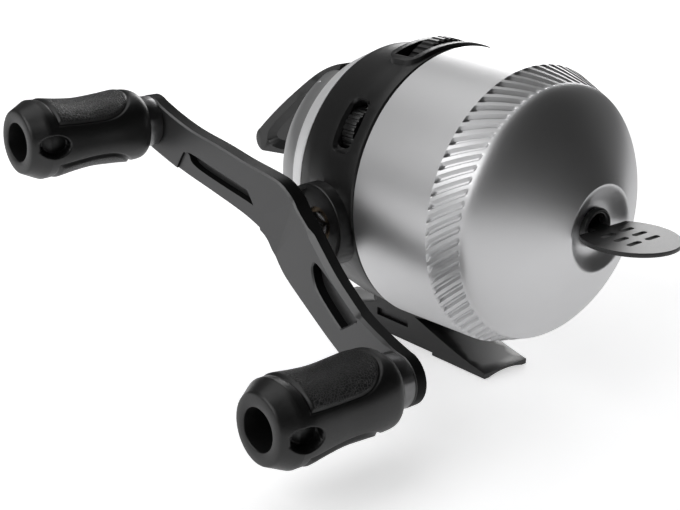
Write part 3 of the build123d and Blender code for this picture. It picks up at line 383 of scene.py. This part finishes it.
def seal_rubber():
    s = Shader("seal_rubber")
    grain = s.noise(2600)
    s.set(Base_Color=s.tint(grain, grey(0.006), grey(0.012)), Roughness=0.7)
    s.bump(grain, 0.00004, 0.4)
    return s.material


FINISHES = {
    make.__name__: make()
    for make in (
        silver_cover, rear_two_tone, black_body, black_trim, arm_metal, arm_recess_painted_shade, soft_grip, grip_pad,
        bright_metal, guide_ring, tag_plastic, steel, brass, zinc, white_plastic, line, felt, seal_rubber,
    )
}
for part in frame["record"]["subparts"]:
    node = NODES[part["node"]]
    node.data.materials.clear()
    node.data.materials.append(FINISHES[part["material_slot"]])


# ---------------------------------------------------------------- ways to draw and place a shape
def add_piece(name, mesh, body, node, *materials):
    """Puts a mesh in the scene to stand for a CAD node and ride its body."""
    for material in materials:
        mesh.materials.append(FINISHES[material])
    mesh.shade_smooth()
    shown = bpy.data.objects.new(name, mesh)
    bpy.context.scene.collection.objects.link(shown)
    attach(shown, body)
    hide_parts(node)
    return shown


def bezier(points, count):
    """Points along a cubic Bezier, its start included and its end left out."""
    t = np.arange(count)[:, None] / count
    a, b, c, d = (np.array(p, float) for p in points)
    return (1 - t) ** 3 * a + 3 * (1 - t) ** 2 * t * b + 3 * (1 - t) * t ** 2 * c + t ** 3 * d


def straight(a, b, count):
    """Points along a line, its start included and its end left out."""
    t = np.arange(count)[:, None] / count
    return np.array(a, float) * (1 - t) + np.array(b, float) * t


def smooth_path(points, steps, closed=False):
    """Catmull-Rom curve through points."""
    pts = np.array(points, float)
    if closed:
        ring = np.vstack([pts[-1:], pts, pts[:2]])
    else:
        ring = np.vstack([2 * pts[:1] - pts[1:2], pts, 2 * pts[-1:] - pts[-2:-1]])
    out = []
    for p0, p1, p2, p3 in zip(ring, ring[1:], ring[2:], ring[3:]):
        square = 2 * p0 - 5 * p1 + 4 * p2 - p3
        cube = 3 * p1 - p0 - 3 * p2 + p3
        for step in range(steps):
            t = step / steps
            out.append(0.5 * (2 * p1 + (p2 - p0) * t + square * t ** 2 + cube * t ** 3))
    if not closed:
        out.append(ring[-2])
    return np.array(out)


def smoothstep(value, low, high):
    t = np.clip((value - low) / (high - low), 0, 1)
    return t * t * (3 - 2 * t)


def plateau(value, start, full, fade, end):
    """1 between full and fade, easing to 0 at start and end."""
    return smoothstep(value, start, full) * (1 - smoothstep(value, fade, end))


def torus_mesh(name, rings):
    """Closed mesh from rings of points; the first ring joins the last, as does each ring to itself."""
    count, size = rings.shape[:2]
    index = np.arange(count * size).reshape(count, size)
    beside, after = np.roll(index, -1, 1), np.roll(index, -1, 0)
    diagonal = np.roll(after, -1, 1)
    faces = np.stack([index, beside, diagonal, after], -1).reshape(-1, 4)
    mesh = bpy.data.meshes.new(name)
    mesh.from_pydata(rings.reshape(-1, 3).tolist(), [], faces.tolist())
    mesh.update()
    return mesh


def prism(name, rings):
    """Closed mesh from equal rings of points, with a flat face on each end."""
    mesh = bmesh.new()
    rows = [[mesh.verts.new(point) for point in ring] for ring in rings]
    for a, b in zip(rows, rows[1:]):
        for k in range(len(a)):
            after = (k + 1) % len(a)
            mesh.faces.new((a[k], a[after], b[after], b[k]))
    mesh.faces.new(rows[0][::-1])
    mesh.faces.new(rows[-1])
    bmesh.ops.recalc_face_normals(mesh, faces=mesh.faces[:])
    out = bpy.data.meshes.new(name)
    mesh.to_mesh(out)
    mesh.free()
    return out


def inset(outline, width):
    """Outline moved inwards, by a width for each point."""
    run = np.roll(outline, -1, 0) - np.roll(outline, 1, 0)
    run /= np.linalg.norm(run, axis=1)[:, None]
    return outline + np.stack([-run[:, 1], run[:, 0]], 1) * width[:, None]


def taken_away(mesh, cutter):
    """Mesh with the space of a second one cut out of it."""
    body, tool = (bpy.data.objects.new("cut_work", m) for m in (mesh, cutter))
    for work in (body, tool):
        bpy.context.scene.collection.objects.link(work)
    cut = body.modifiers.new("cut", "BOOLEAN")
    cut.operation = "DIFFERENCE"
    cut.solver = "EXACT"
    cut.object = tool
    bpy.context.view_layer.update()
    evaluated = body.evaluated_get(bpy.context.evaluated_depsgraph_get())
    result = bpy.data.meshes.new_from_object(evaluated)
    for work in (body, tool):
        bpy.data.objects.remove(work)
    return result


# ---------------------------------------------------------------- eased edges
# The frame's own pieces, with how far their sharp edges are rounded so that they catch the light.
EASED = {
    "frame": 0.45, "reel_foot": 0.4, "alert_switch": 0.15, "line_tag": 0.12,
    "rear_cover": 0.3, "knob_collars": 0.25, "line_guide": 0.2, "crank_port_cap": 0.3,
}
EASED_FROM = 32             # degrees between two faces for their edge to count as sharp


def bevel_edges(shown, width):
    bevel = shown.modifiers.new("ease", "BEVEL")
    bevel.limit_method = "ANGLE"
    bevel.angle_limit = radians(EASED_FROM)
    bevel.width = width * MM
    bevel.segments = 2
    bevel.harden_normals = True


def ease(node, width):
    """Rounds a node's sharp edges with modifiers, its vertices left as they are."""
    weld = NODES[node].modifiers.new("weld", "WELD")
    weld.merge_threshold = WELD_DISTANCE
    bevel_edges(NODES[node], width)


# ---------------------------------------------------------------- front cover
# A turned shell with a fluted band, a domed face and a bowl round the guide.
FLUTES = 70
FLUTE_STEPS = 12                    # points round the cover for each flute
FLUTE_DEPTH = 0.8
FLUTE_TWIST = 9.8                   # degrees between the ends of the band
VALLEY_HALF, FLANK = 1 / 3, 0.25    # of one flute: half its valley, and each of the valley's sloping sides
BAND_START, BAND_END = 23.0, 30.3   # how far in front of the rear edge
FLUTE_STRETCH = (0.0, 0.06, 0.88, 1.0)      # of the band: where the flutes start, are deep, fade and end
COVER_CREASE = 17                   # degrees between two faces for their edge to show


def cover_profile():
    """Distance in front of the rear edge and radius round the wall; the flutes' depth and turn there."""
    body = straight((0.2, 33.6), (BAND_START, 33.0), 8)
    band = straight((BAND_START, 33.0), (BAND_END, 30.0), 24)
    dome = bezier([(BAND_END, 30.0), (34.3, 28.7), (41.3, 16.5), (44.5, 10.3)], 30)
    bowl = bezier([(44.5, 10.3), (44.8, 9.3), (42.3, 7.9), (42.3, 5.2)], 16)
    hole = [(42.3, 5.2), (42.3, 4.05), (41.0, 4.05), (41.0, 8.0), (42.0, 10.6)]
    inner_dome = bezier([(42.0, 10.6), (39.7, 15.6), (32.9, 27.2), (29.7, 28.0)], 12)
    inner_wall = [(29.7, 28.0), (22.4, 31.0), (10.0, 31.4), (9.2, 32.3), (0.0, 32.3), (0.0, 33.4)]
    parts = [np.array(p, float) for p in (body, band, dome, bowl, hole, inner_dome, inner_wall)]
    place = np.arange(len(band)) / len(band)
    before, after, inner = len(body), sum(map(len, parts[2:5])), sum(map(len, parts[5:]))
    depths = np.concatenate([np.zeros(before), plateau(place, *FLUTE_STRETCH), np.zeros(after + inner)])
    turns = np.concatenate([np.zeros(before), place, np.ones(after), np.linspace(1, 0, inner)])
    return np.vstack(parts), depths, turns * radians(FLUTE_TWIST)


def flute_shape():
    """Depth across one flute, 0 on the crest and 1 along the floor of the valley."""
    off = np.abs(np.arange(FLUTE_STEPS) / FLUTE_STEPS - 0.5)
    return np.clip((VALLEY_HALF - off) / FLANK, 0, 1)


def front_cover_shell():
    rear_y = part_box("front_cover")[1].y
    profile, depths, turns = cover_profile()
    points_round = FLUTES * FLUTE_STEPS
    turn = np.arange(points_round)[None, :] * 2 * np.pi / points_round + turns[:, None]
    radius = profile[:, 1:] - FLUTE_DEPTH * depths[:, None] * np.tile(flute_shape(), FLUTES)[None, :]
    x = radius * np.sin(turn) * MM
    z = SPINDLE_Z + radius * np.cos(turn) * MM
    y = np.broadcast_to(rear_y - profile[:, :1] * MM, x.shape)
    mesh = torus_mesh("front_cover_shell", np.stack([x, y, z], -1)[::-1])
    add_piece("front_cover_shell", mesh, "root", "front_cover", "silver_cover")
    mesh.set_sharp_from_angle(angle=radians(COVER_CREASE))


# ---------------------------------------------------------------- knobs
# Waisted grips with a soft pad above and below, a screw pocket and two ports in the outer end.
KNOB_STEPS = 288                    # points round a knob
SHAPED_FROM = 2.5                   # pads and grooves stay off the end's rim
POCKET_R, BORE_R, POCKET_DEPTH = 4.5, 2.6, 11.0
PAD_START, PAD_END = 6.8, 28.0      # from the outer end
PAD_HALF_ANGLE = 56.0               # degrees either side of straight up or down
MM_PER_DEGREE = 0.155               # round the grip
PAD_RAISE, PAD_EDGE = 0.28, 0.5
GROOVE_DEPTH, GROOVE_WIDTH, GROOVE_OUT, GROOVE_FALL = 0.4, 0.55, 0.35, 3
PAD_LEATHER_FROM = 0.3              # how far inside the pad's outline its material begins
CORNER_RAISE = 0.35                 # between the pads and the sides, for a squarer section
CORNER_FROM, CORNER_FULL = 2.0, 9.0
PORT_HALF_LONG, PORT_HALF_HIGH, PORT_DEPTH, PORT_EDGE = 3.6, 2.7, 3.6, 0.14
PORT_ALONG, PORT_OUT, PORT_REACH = 4.9, 9.2, 5
PORT_LEAN, PORT_INWARD = 0.35, 0.94


def knob_stations(length):
    """Distance from the outer end, half width along Y, half height: outside, then the pocket and bore."""
    rim = [(0.0, 6.6, 7.0), (0.12, 6.9, 7.3)]
    chamfer = straight((0.25, 7.1, 7.5), (3.7, 9.5, 9.1), 8)
    body = smooth_path(
        [(4.1, 9.7, 9.25), (7.0, 9.8, 8.95), (12.0, 9.4, 8.2), (17.0, 9.1, 7.8), (23.0, 9.2, 8.1),
         (27.5, 9.1, 8.5), (30.0, 8.8, 8.4), (length - 0.6, 7.9, 7.7), (length, 7.0, 6.9)], 14)
    outside = np.vstack([rim, chamfer, body])
    end = straight((length, 6.9, 6.9), (length, BORE_R, BORE_R), 3)
    bore = straight((length, BORE_R, BORE_R), (POCKET_DEPTH, BORE_R, BORE_R), 3)
    pocket_wall = [(POCKET_DEPTH, BORE_R, BORE_R), (POCKET_DEPTH, POCKET_R, POCKET_R),
                   (POCKET_DEPTH - 0.2, POCKET_R, POCKET_R), (0.3, POCKET_R, POCKET_R)]
    pocket_rim = [(0.1, POCKET_R + 0.05, POCKET_R + 0.05), (0.0, POCKET_R + 0.2, POCKET_R + 0.2)]
    return np.vstack([outside, end, bore, pocket_wall, pocket_rim]), len(outside)


def inside_pad(turn, along):
    """Distance in from a pad's outline, which is straight at the outer end and round at the inner."""
    off = np.abs(np.abs(np.degrees(turn) - 180) - 90) * MM_PER_DEGREE
    half = PAD_HALF_ANGLE * MM_PER_DEGREE
    past = np.maximum(along - (PAD_END - half), 0)
    return np.minimum(half - np.hypot(off, past), along - PAD_START)


def pressed_port(points, side, outer):
    """Points of the grip pushed in to make the port on one side of the outer end."""
    mouth = np.array([PORT_ALONG, side * PORT_OUT, 0.0])
    inward = np.array([PORT_LEAN, -side * PORT_INWARD, 0.0])
    away = points - mouth
    depth = (away @ inward)[..., None] * inward
    flat = away - depth
    along = np.hypot(flat[..., 0], flat[..., 1])
    spread = np.hypot(flat[..., 2] / PORT_HALF_HIGH, along / PORT_HALF_LONG)
    near = outer & (np.abs(depth[..., 1]) < PORT_REACH)
    push = PORT_DEPTH * smoothstep(1 - spread, 0.0, PORT_EDGE) * near
    return points + push[..., None] * inward


def knob_grip(name, node, body):
    low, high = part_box(node)
    middle = centre(node)
    stations, outer_count = knob_stations((high.x - low.x) / MM)
    turn = np.arange(KNOB_STEPS) * 2 * np.pi / KNOB_STEPS
    along = np.repeat(stations[:, :1], KNOB_STEPS, 1)
    outer = (np.arange(len(stations)) < outer_count)[:, None]
    inside = inside_pad(turn[None, :], along)
    groove = GROOVE_DEPTH * np.exp(-((inside + GROOVE_OUT) / GROOVE_WIDTH) ** 2 * GROOVE_FALL)
    lift = PAD_RAISE * smoothstep(inside, 0.0, PAD_EDGE) - groove
    lift = np.where(outer & (along > SHAPED_FROM), lift, 0)
    corners = CORNER_RAISE * np.sin(2 * turn)[None, :] ** 2 * smoothstep(along, CORNER_FROM, CORNER_FULL)
    grow = np.where(outer, lift + corners, 0)
    y = (stations[:, 1:2] + grow) * np.cos(turn)
    z = (stations[:, 2:3] + grow) * np.sin(turn)
    points = np.stack([along, y, z], -1)
    for side in (-1, 1):
        points = pressed_port(points, side, outer)
    mesh = torus_mesh(name, np.array([low.x, middle.y, middle.z]) + points * MM)
    add_piece(name, mesh, body, node, "soft_grip", "grip_pad")
    on_pad = (inside > PAD_LEATHER_FROM) & outer & (along > SHAPED_FROM)
    mesh.polygons.foreach_set("material_index", on_pad.astype(np.int32).ravel())


# ---------------------------------------------------------------- handle arm
# A chamfered bar, cut flat and then bent to the slope of its two halves. In the flat, u runs along it
# to the rear knob from the crank's axis, v is up across it, and lift is how far behind its face.
ARM_TIP, TIP_R = 49.0, 6.3
ARM_THICK = 4.4
ARM_FACE_X = -45.0
FACE_SLOPE, FACE_DROP = 0.13, 6.0       # the face leans out towards the tips until it has gone this far
BACK_SLOPE, BACK_DROP = 0.15, 7.2       # and so does the back
CHAMFER, BACK_CHAMFER = 0.45, 0.4
CHAMFER_STEEPNESS = 0.9                 # depth for its width
UPPER_CHAMFER = 1.2                     # along the upper edge of the front half
UPPER_STRETCH = (8.0, 9.0, 32.0, 32.6)  # out along the front half: where it starts, is wide, fades and ends
NECK_EXTRA = 0.3
NECK_STRETCH = (32.2, 32.8, 42.0, 44.0)
STEP_DEPTH, STEP_RIM = 1.0, 0.15
ARM_GROOVE_DEPTH = 3.2
SLOT_DEPTH, SLOT_RIM = 2.9, 0.35
ARM_CREASE = 24                         # degrees between two faces for their edge to show
CUT_TOLERANCE = 0.00001


def arm_outline():
    """(u, v) round the arm."""
    upper = smooth_path(
        [(ARM_TIP, TIP_R), (42.0, 6.0), (34.4, 6.4), (25.0, 8.0), (17.0, 9.1), (9.0, 10.6), (5.0, 11.0),
         (1.5, 10.1), (-2.1, 8.6), (-8.5, 7.4), (-19.6, 4.8), (-28.0, 3.8), (-33.5, 3.6), (-41.0, 4.6),
         (-ARM_TIP, TIP_R)], 8)
    lower = smooth_path(
        [(-ARM_TIP, -TIP_R), (-42.0, -8.0), (-34.4, -9.2), (-27.0, -9.5), (-19.9, -9.4), (-7.4, -8.9),
         (-2.6, -8.1), (1.3, -6.6), (4.0, -4.8), (7.0, -4.0), (13.5, -3.8), (23.7, -4.7), (36.4, -6.0),
         (ARM_TIP, -TIP_R)], 8)
    turn = np.radians(np.arange(10, 180, 10))
    front_cap = np.stack([-ARM_TIP - TIP_R * np.sin(turn), TIP_R * np.cos(turn)], 1)
    rear_cap = np.stack([ARM_TIP + TIP_R * np.sin(turn), -TIP_R * np.cos(turn)], 1)
    return np.vstack([upper, front_cap, lower, rear_cap])


def arm_chamfers(outline):
    """Width of the face's chamfer at each point of the outline."""
    out, upper = -outline[:, 0], outline[:, 1] > 0
    wide = plateau(out, *UPPER_STRETCH) * upper
    neck = plateau(out, *NECK_STRETCH) * upper
    return CHAMFER + (UPPER_CHAMFER - CHAMFER) * wide + NECK_EXTRA * neck


def arm_layer(points, lift):
    return [(lift, u, v) for u, v in points]


def flat_bar():
    outline = arm_outline()
    width = arm_chamfers(outline)
    back_width = np.full(len(outline), BACK_CHAMFER)
    mesh = prism("handle_arm_bar", [
        arm_layer(inset(outline, width), 0.0),
        [(w * CHAMFER_STEEPNESS, u, v) for (u, v), w in zip(outline, width)],
        arm_layer(outline, ARM_THICK - BACK_CHAMFER),
        arm_layer(inset(outline, back_width), ARM_THICK),
    ])
    for material in ("arm_metal", "arm_recess_painted_shade"):
        mesh.materials.append(FINISHES[material])
    return mesh


def pocket(points, depth, rim, dark=False):
    """Cutter for a pocket with sloping rims: wide at the face, its own size from the rim down."""
    outline = np.array(points, float)
    after = np.roll(outline, -1, 0)
    if np.sum(outline[:, 0] * after[:, 1] - outline[:, 1] * after[:, 0]) < 0:
        outline = outline[::-1]
    wide = inset(outline, np.full(len(outline), -rim))
    cutter = prism("pocket", [
        arm_layer(wide, -1.0),
        arm_layer(wide, 0.0),
        arm_layer(outline, rim + 0.05),
        arm_layer(outline, depth),
    ])
    for material in ("arm_metal", "arm_recess_painted_shade"):
        cutter.materials.append(FINISHES[material])
    # With dark set, every face of the cutter takes the black recess finish, painted shade, which the cut
    # leaves on the pocket's inside.
    cutter.polygons.foreach_set("material_index", np.full(len(cutter.polygons), int(dark), np.int32))
    return cutter


def rear_step():
    """Lowered lower part of the rear half, open along the bar's lower edge."""
    edge = smooth_path(
        [(37.0, -9.0), (35.8, -1.4), (34.9, -0.4), (33.1, 0.5), (25.0, 1.6), (14.6, 2.9), (13.2, 2.8),
         (10.2, 0.4), (6.8, -3.4), (5.4, -9.0)], 4)
    return pocket(edge, STEP_DEPTH, STEP_RIM)


def rear_groove():
    """Groove under the step's upper edge, black inside as painted shade."""
    edge = smooth_path(
        [(34.0, -0.9), (33.0, 0.1), (14.6, 2.5), (11.2, 0.2), (13.4, -0.2), (30.4, -2.3)], 4, True)
    return pocket(edge, ARM_GROOVE_DEPTH, 0.0, True)


def front_slot():
    edge = smooth_path(
        [(-13.3, 1.6), (-14.6, -0.7), (-18.2, -2.7), (-27.6, -3.8), (-29.2, -3.1), (-31.9, 1.2),
         (-31.3, 1.9), (-16.0, 2.7)], 4, True)
    # Black inside: painted shade in the slot.
    return pocket(edge, SLOT_DEPTH, SLOT_RIM, True)


def bend_into_place(mesh):
    """Moves the flat bar to the crank's axis, square to it, with its halves leaning out to the knobs."""
    rear, front = centre("knob_rear"), centre("knob_front")
    middle = (rear + front) / 2
    along = rear - front
    along.x = 0
    along.normalize()
    up = Vector((0, -along.z, along.y))
    work = bmesh.new()
    work.from_mesh(mesh)
    folds = [side * drop / slope for drop, slope in ((FACE_DROP, FACE_SLOPE), (BACK_DROP, BACK_SLOPE))
             for side in (1, -1)]
    for fold in (0.0, *folds):
        bmesh.ops.bisect_plane(
            work, geom=work.verts[:] + work.edges[:] + work.faces[:], dist=CUT_TOLERANCE,
            plane_co=(0, fold, 0), plane_no=(0, 1, 0))
    bmesh.ops.triangulate(work, faces=[f for f in work.faces if len(f.verts) > 4])
    for vert in work.verts:
        lift, u, v = vert.co
        face = -min(FACE_SLOPE * abs(u), FACE_DROP)
        back = ARM_THICK - min(BACK_SLOPE * abs(u), BACK_DROP)
        place = middle + along * u * MM + up * v * MM
        place.x = (ARM_FACE_X + face + (back - face) * lift / ARM_THICK) * MM
        vert.co = place
    bmesh.ops.recalc_face_normals(work, faces=work.faces[:])
    work.to_mesh(mesh)
    work.free()


def handle_arm_piece():
    mesh = flat_bar()
    for cutter in (rear_step(), rear_groove(), front_slot()):
        mesh = taken_away(mesh, cutter)
    bend_into_place(mesh)
    mesh.materials.clear()
    add_piece("handle_arm_bar", mesh, "crank", "handle_arm", "arm_metal", "arm_recess_painted_shade")
    mesh.set_sharp_from_angle(angle=radians(ARM_CREASE))


# ---------------------------------------------------------------- thumb button
# The frame's own, with a hollow along each flank.
FLANK_X, HOLLOW_X, CUTTER_X = 12.95, 11.75, 14.0    # the flank, the hollow's floor and the cutter's outside
BUTTON_EDGE = 0.5
BUTTON_CREASE = 30                  # degrees between two faces for their edge to show


def welded(node):
    """Copy of a node's mesh with its split edges joined."""
    work = bmesh.new()
    work.from_mesh(NODES[node].data)
    bmesh.ops.remove_doubles(work, verts=work.verts[:], dist=WELD_DISTANCE)
    out = bpy.data.meshes.new(node + "_welded")
    work.to_mesh(out)
    work.free()
    return out


def flank_hollow(side):
    """Cutter beside the button: wide at the flank, narrower inside."""
    wide = smooth_path(
        [(29.0, 60.0), (38.0, 54.0), (46.0, 46.5), (45.0, 42.8), (36.0, 43.6), (27.0, 50.5)], 6, True)
    narrow = smooth_path(
        [(31.0, 57.0), (38.0, 52.0), (43.6, 46.6), (42.6, 44.8), (36.0, 45.8), (29.6, 51.0)], 6, True)
    return prism("flank_hollow", [
        [(side * x * MM, y * MM, z * MM) for y, z in outline]
        for outline, x in ((wide, CUTTER_X), (wide, FLANK_X), (narrow, HOLLOW_X))
    ])


def thumb_button_piece():
    mesh = welded("thumb_button")
    for side in (-1, 1):
        mesh = taken_away(mesh, flank_hollow(side))
    mesh.materials.clear()
    shown = add_piece("thumb_button_body", mesh, "button", "thumb_button", "black_trim")
    bevel_edges(shown, BUTTON_EDGE)
    mesh.set_sharp_from_angle(angle=radians(BUTTON_CREASE))


for node, width in EASED.items():
    ease(node, width)
thumb_button_piece()
front_cover_shell()
knob_grip("knob_grip_rear", "knob_rear", "rear_knob")
knob_grip("knob_grip_front", "knob_front", "front_knob")
handle_arm_piece()


# ---------------------------------------------------------------- studio
CAMERA_AT = (-0.2226, -0.2207, 0.1322)
CAMERA_AZIMUTH, CAMERA_ELEVATION, CAMERA_ROLL = -41.53, 19.61, 1.37
CAMERA_LENS = 68.5
FLOOR_HALF, FLOOR_GAP = 6.0, 0.4 * MM
FLOOR_GLOW, FLOOR_REFLECTED_GLOW = 0.6, 0.4
SKY_DARK_TOWARDS = (-0.1, -0.9, 0.35)
SKY_FROM, SKY_TO = -0.1, 0.6            # cosines from that direction between which bright falls to dark
SKY_BRIGHT, SKY_DARK, SKY_SEEN = 0.13, 0.01, 1.0


def area_light(name, at, size, power):
    """Rectangular lamp that faces the spindle."""
    data = bpy.data.lights.new(name, "AREA")
    data.shape = "RECTANGLE"
    data.size, data.size_y = size
    data.energy = power
    light = bpy.data.objects.new(name, data)
    light.location = at
    light.rotation_mode = "QUATERNION"
    light.rotation_quaternion = (Vector((0, 0, SPINDLE_Z)) - Vector(at)).to_track_quat("-Z", "Y")
    bpy.context.scene.collection.objects.link(light)


def floor():
    """Pale floor just under the foot, brighter to the camera than in reflections."""
    mesh = bpy.data.meshes.new("studio_floor")
    corners = [(x * FLOOR_HALF, y * FLOOR_HALF, -FLOOR_GAP) for x, y in ((-1, -1), (1, -1), (1, 1), (-1, 1))]
    mesh.from_pydata(corners, [], [(0, 1, 2, 3)])
    s = Shader("floor_paint")
    s.set(
        Base_Color=s.tint(s.noise(3), grey(0.90), grey(0.92)),
        Roughness=0.9,
        Specular_IOR_Level=0.0,
        Emission_Color=(1, 1, 1, 1),
        Emission_Strength=s.ramp(s.seen(), FLOOR_REFLECTED_GLOW, FLOOR_GLOW),
    )
    mesh.materials.append(s.material)
    plane = bpy.data.objects.new("studio_floor", mesh)
    bpy.context.scene.collection.objects.link(plane)


def sky():
    """White to the camera; for light and reflections pale overhead and dark on the camera's side."""
    world = bpy.data.worlds.new("studio_sky")
    world.use_nodes = True
    nodes, links = world.node_tree.nodes, world.node_tree.links
    background = nodes["Background"]
    background.inputs["Color"].default_value = (1, 1, 1, 1)
    coords = nodes.new("ShaderNodeTexCoord")
    axis = nodes.new("ShaderNodeVectorMath")
    axis.operation = "DOT_PRODUCT"
    axis.inputs[1].default_value = Vector(SKY_DARK_TOWARDS).normalized()
    links.new(coords.outputs["Generated"], axis.inputs[0])
    shade = nodes.new("ShaderNodeMapRange")
    shade.interpolation_type = "SMOOTHSTEP"
    shade.inputs["From Min"].default_value = SKY_FROM
    shade.inputs["From Max"].default_value = SKY_TO
    shade.inputs["To Min"].default_value = SKY_BRIGHT
    shade.inputs["To Max"].default_value = SKY_DARK
    links.new(axis.outputs["Value"], shade.inputs["Value"])
    seen = nodes.new("ShaderNodeLightPath")
    pick = nodes.new("ShaderNodeMix")
    pick.inputs["B"].default_value = SKY_SEEN
    links.new(seen.outputs["Is Camera Ray"], pick.inputs["Factor"])
    links.new(shade.outputs["Result"], pick.inputs["A"])
    links.new(pick.outputs["Result"], background.inputs["Strength"])
    bpy.context.scene.world = world


def camera():
    azimuth, elevation, roll = (radians(v) for v in (CAMERA_AZIMUTH, CAMERA_ELEVATION, CAMERA_ROLL))
    right = Vector((cos(azimuth), sin(azimuth), 0))
    back = Vector((sin(azimuth) * cos(elevation), -cos(azimuth) * cos(elevation), sin(elevation)))
    up = back.cross(right)
    turned_right = right * cos(roll) + up * sin(roll)
    turned_up = up * cos(roll) - right * sin(roll)
    data = bpy.data.cameras.new("view")
    data.lens = CAMERA_LENS
    data.clip_start, data.clip_end = 0.005, 50.0
    view = bpy.data.objects.new("view", data)
    turn = Matrix((turned_right, turned_up, back)).transposed().to_4x4()
    view.matrix_world = Matrix.Translation(CAMERA_AT) @ turn
    bpy.context.scene.collection.objects.link(view)
    bpy.context.scene.camera = view


floor()
sky()
camera()
area_light("key_left", at=(-0.75, 0.05, 0.55), size=(0.8, 0.6), power=3.5)
area_light("rim_right", at=(0.6, 0.45, 0.35), size=(0.4, 0.4), power=2.5)
area_light("top", at=(-0.1, 0.3, 0.9), size=(0.9, 0.7), power=2.0)
scene = bpy.context.scene
scene.view_settings.view_transform = "Standard"
scene.cycles.use_denoising = True
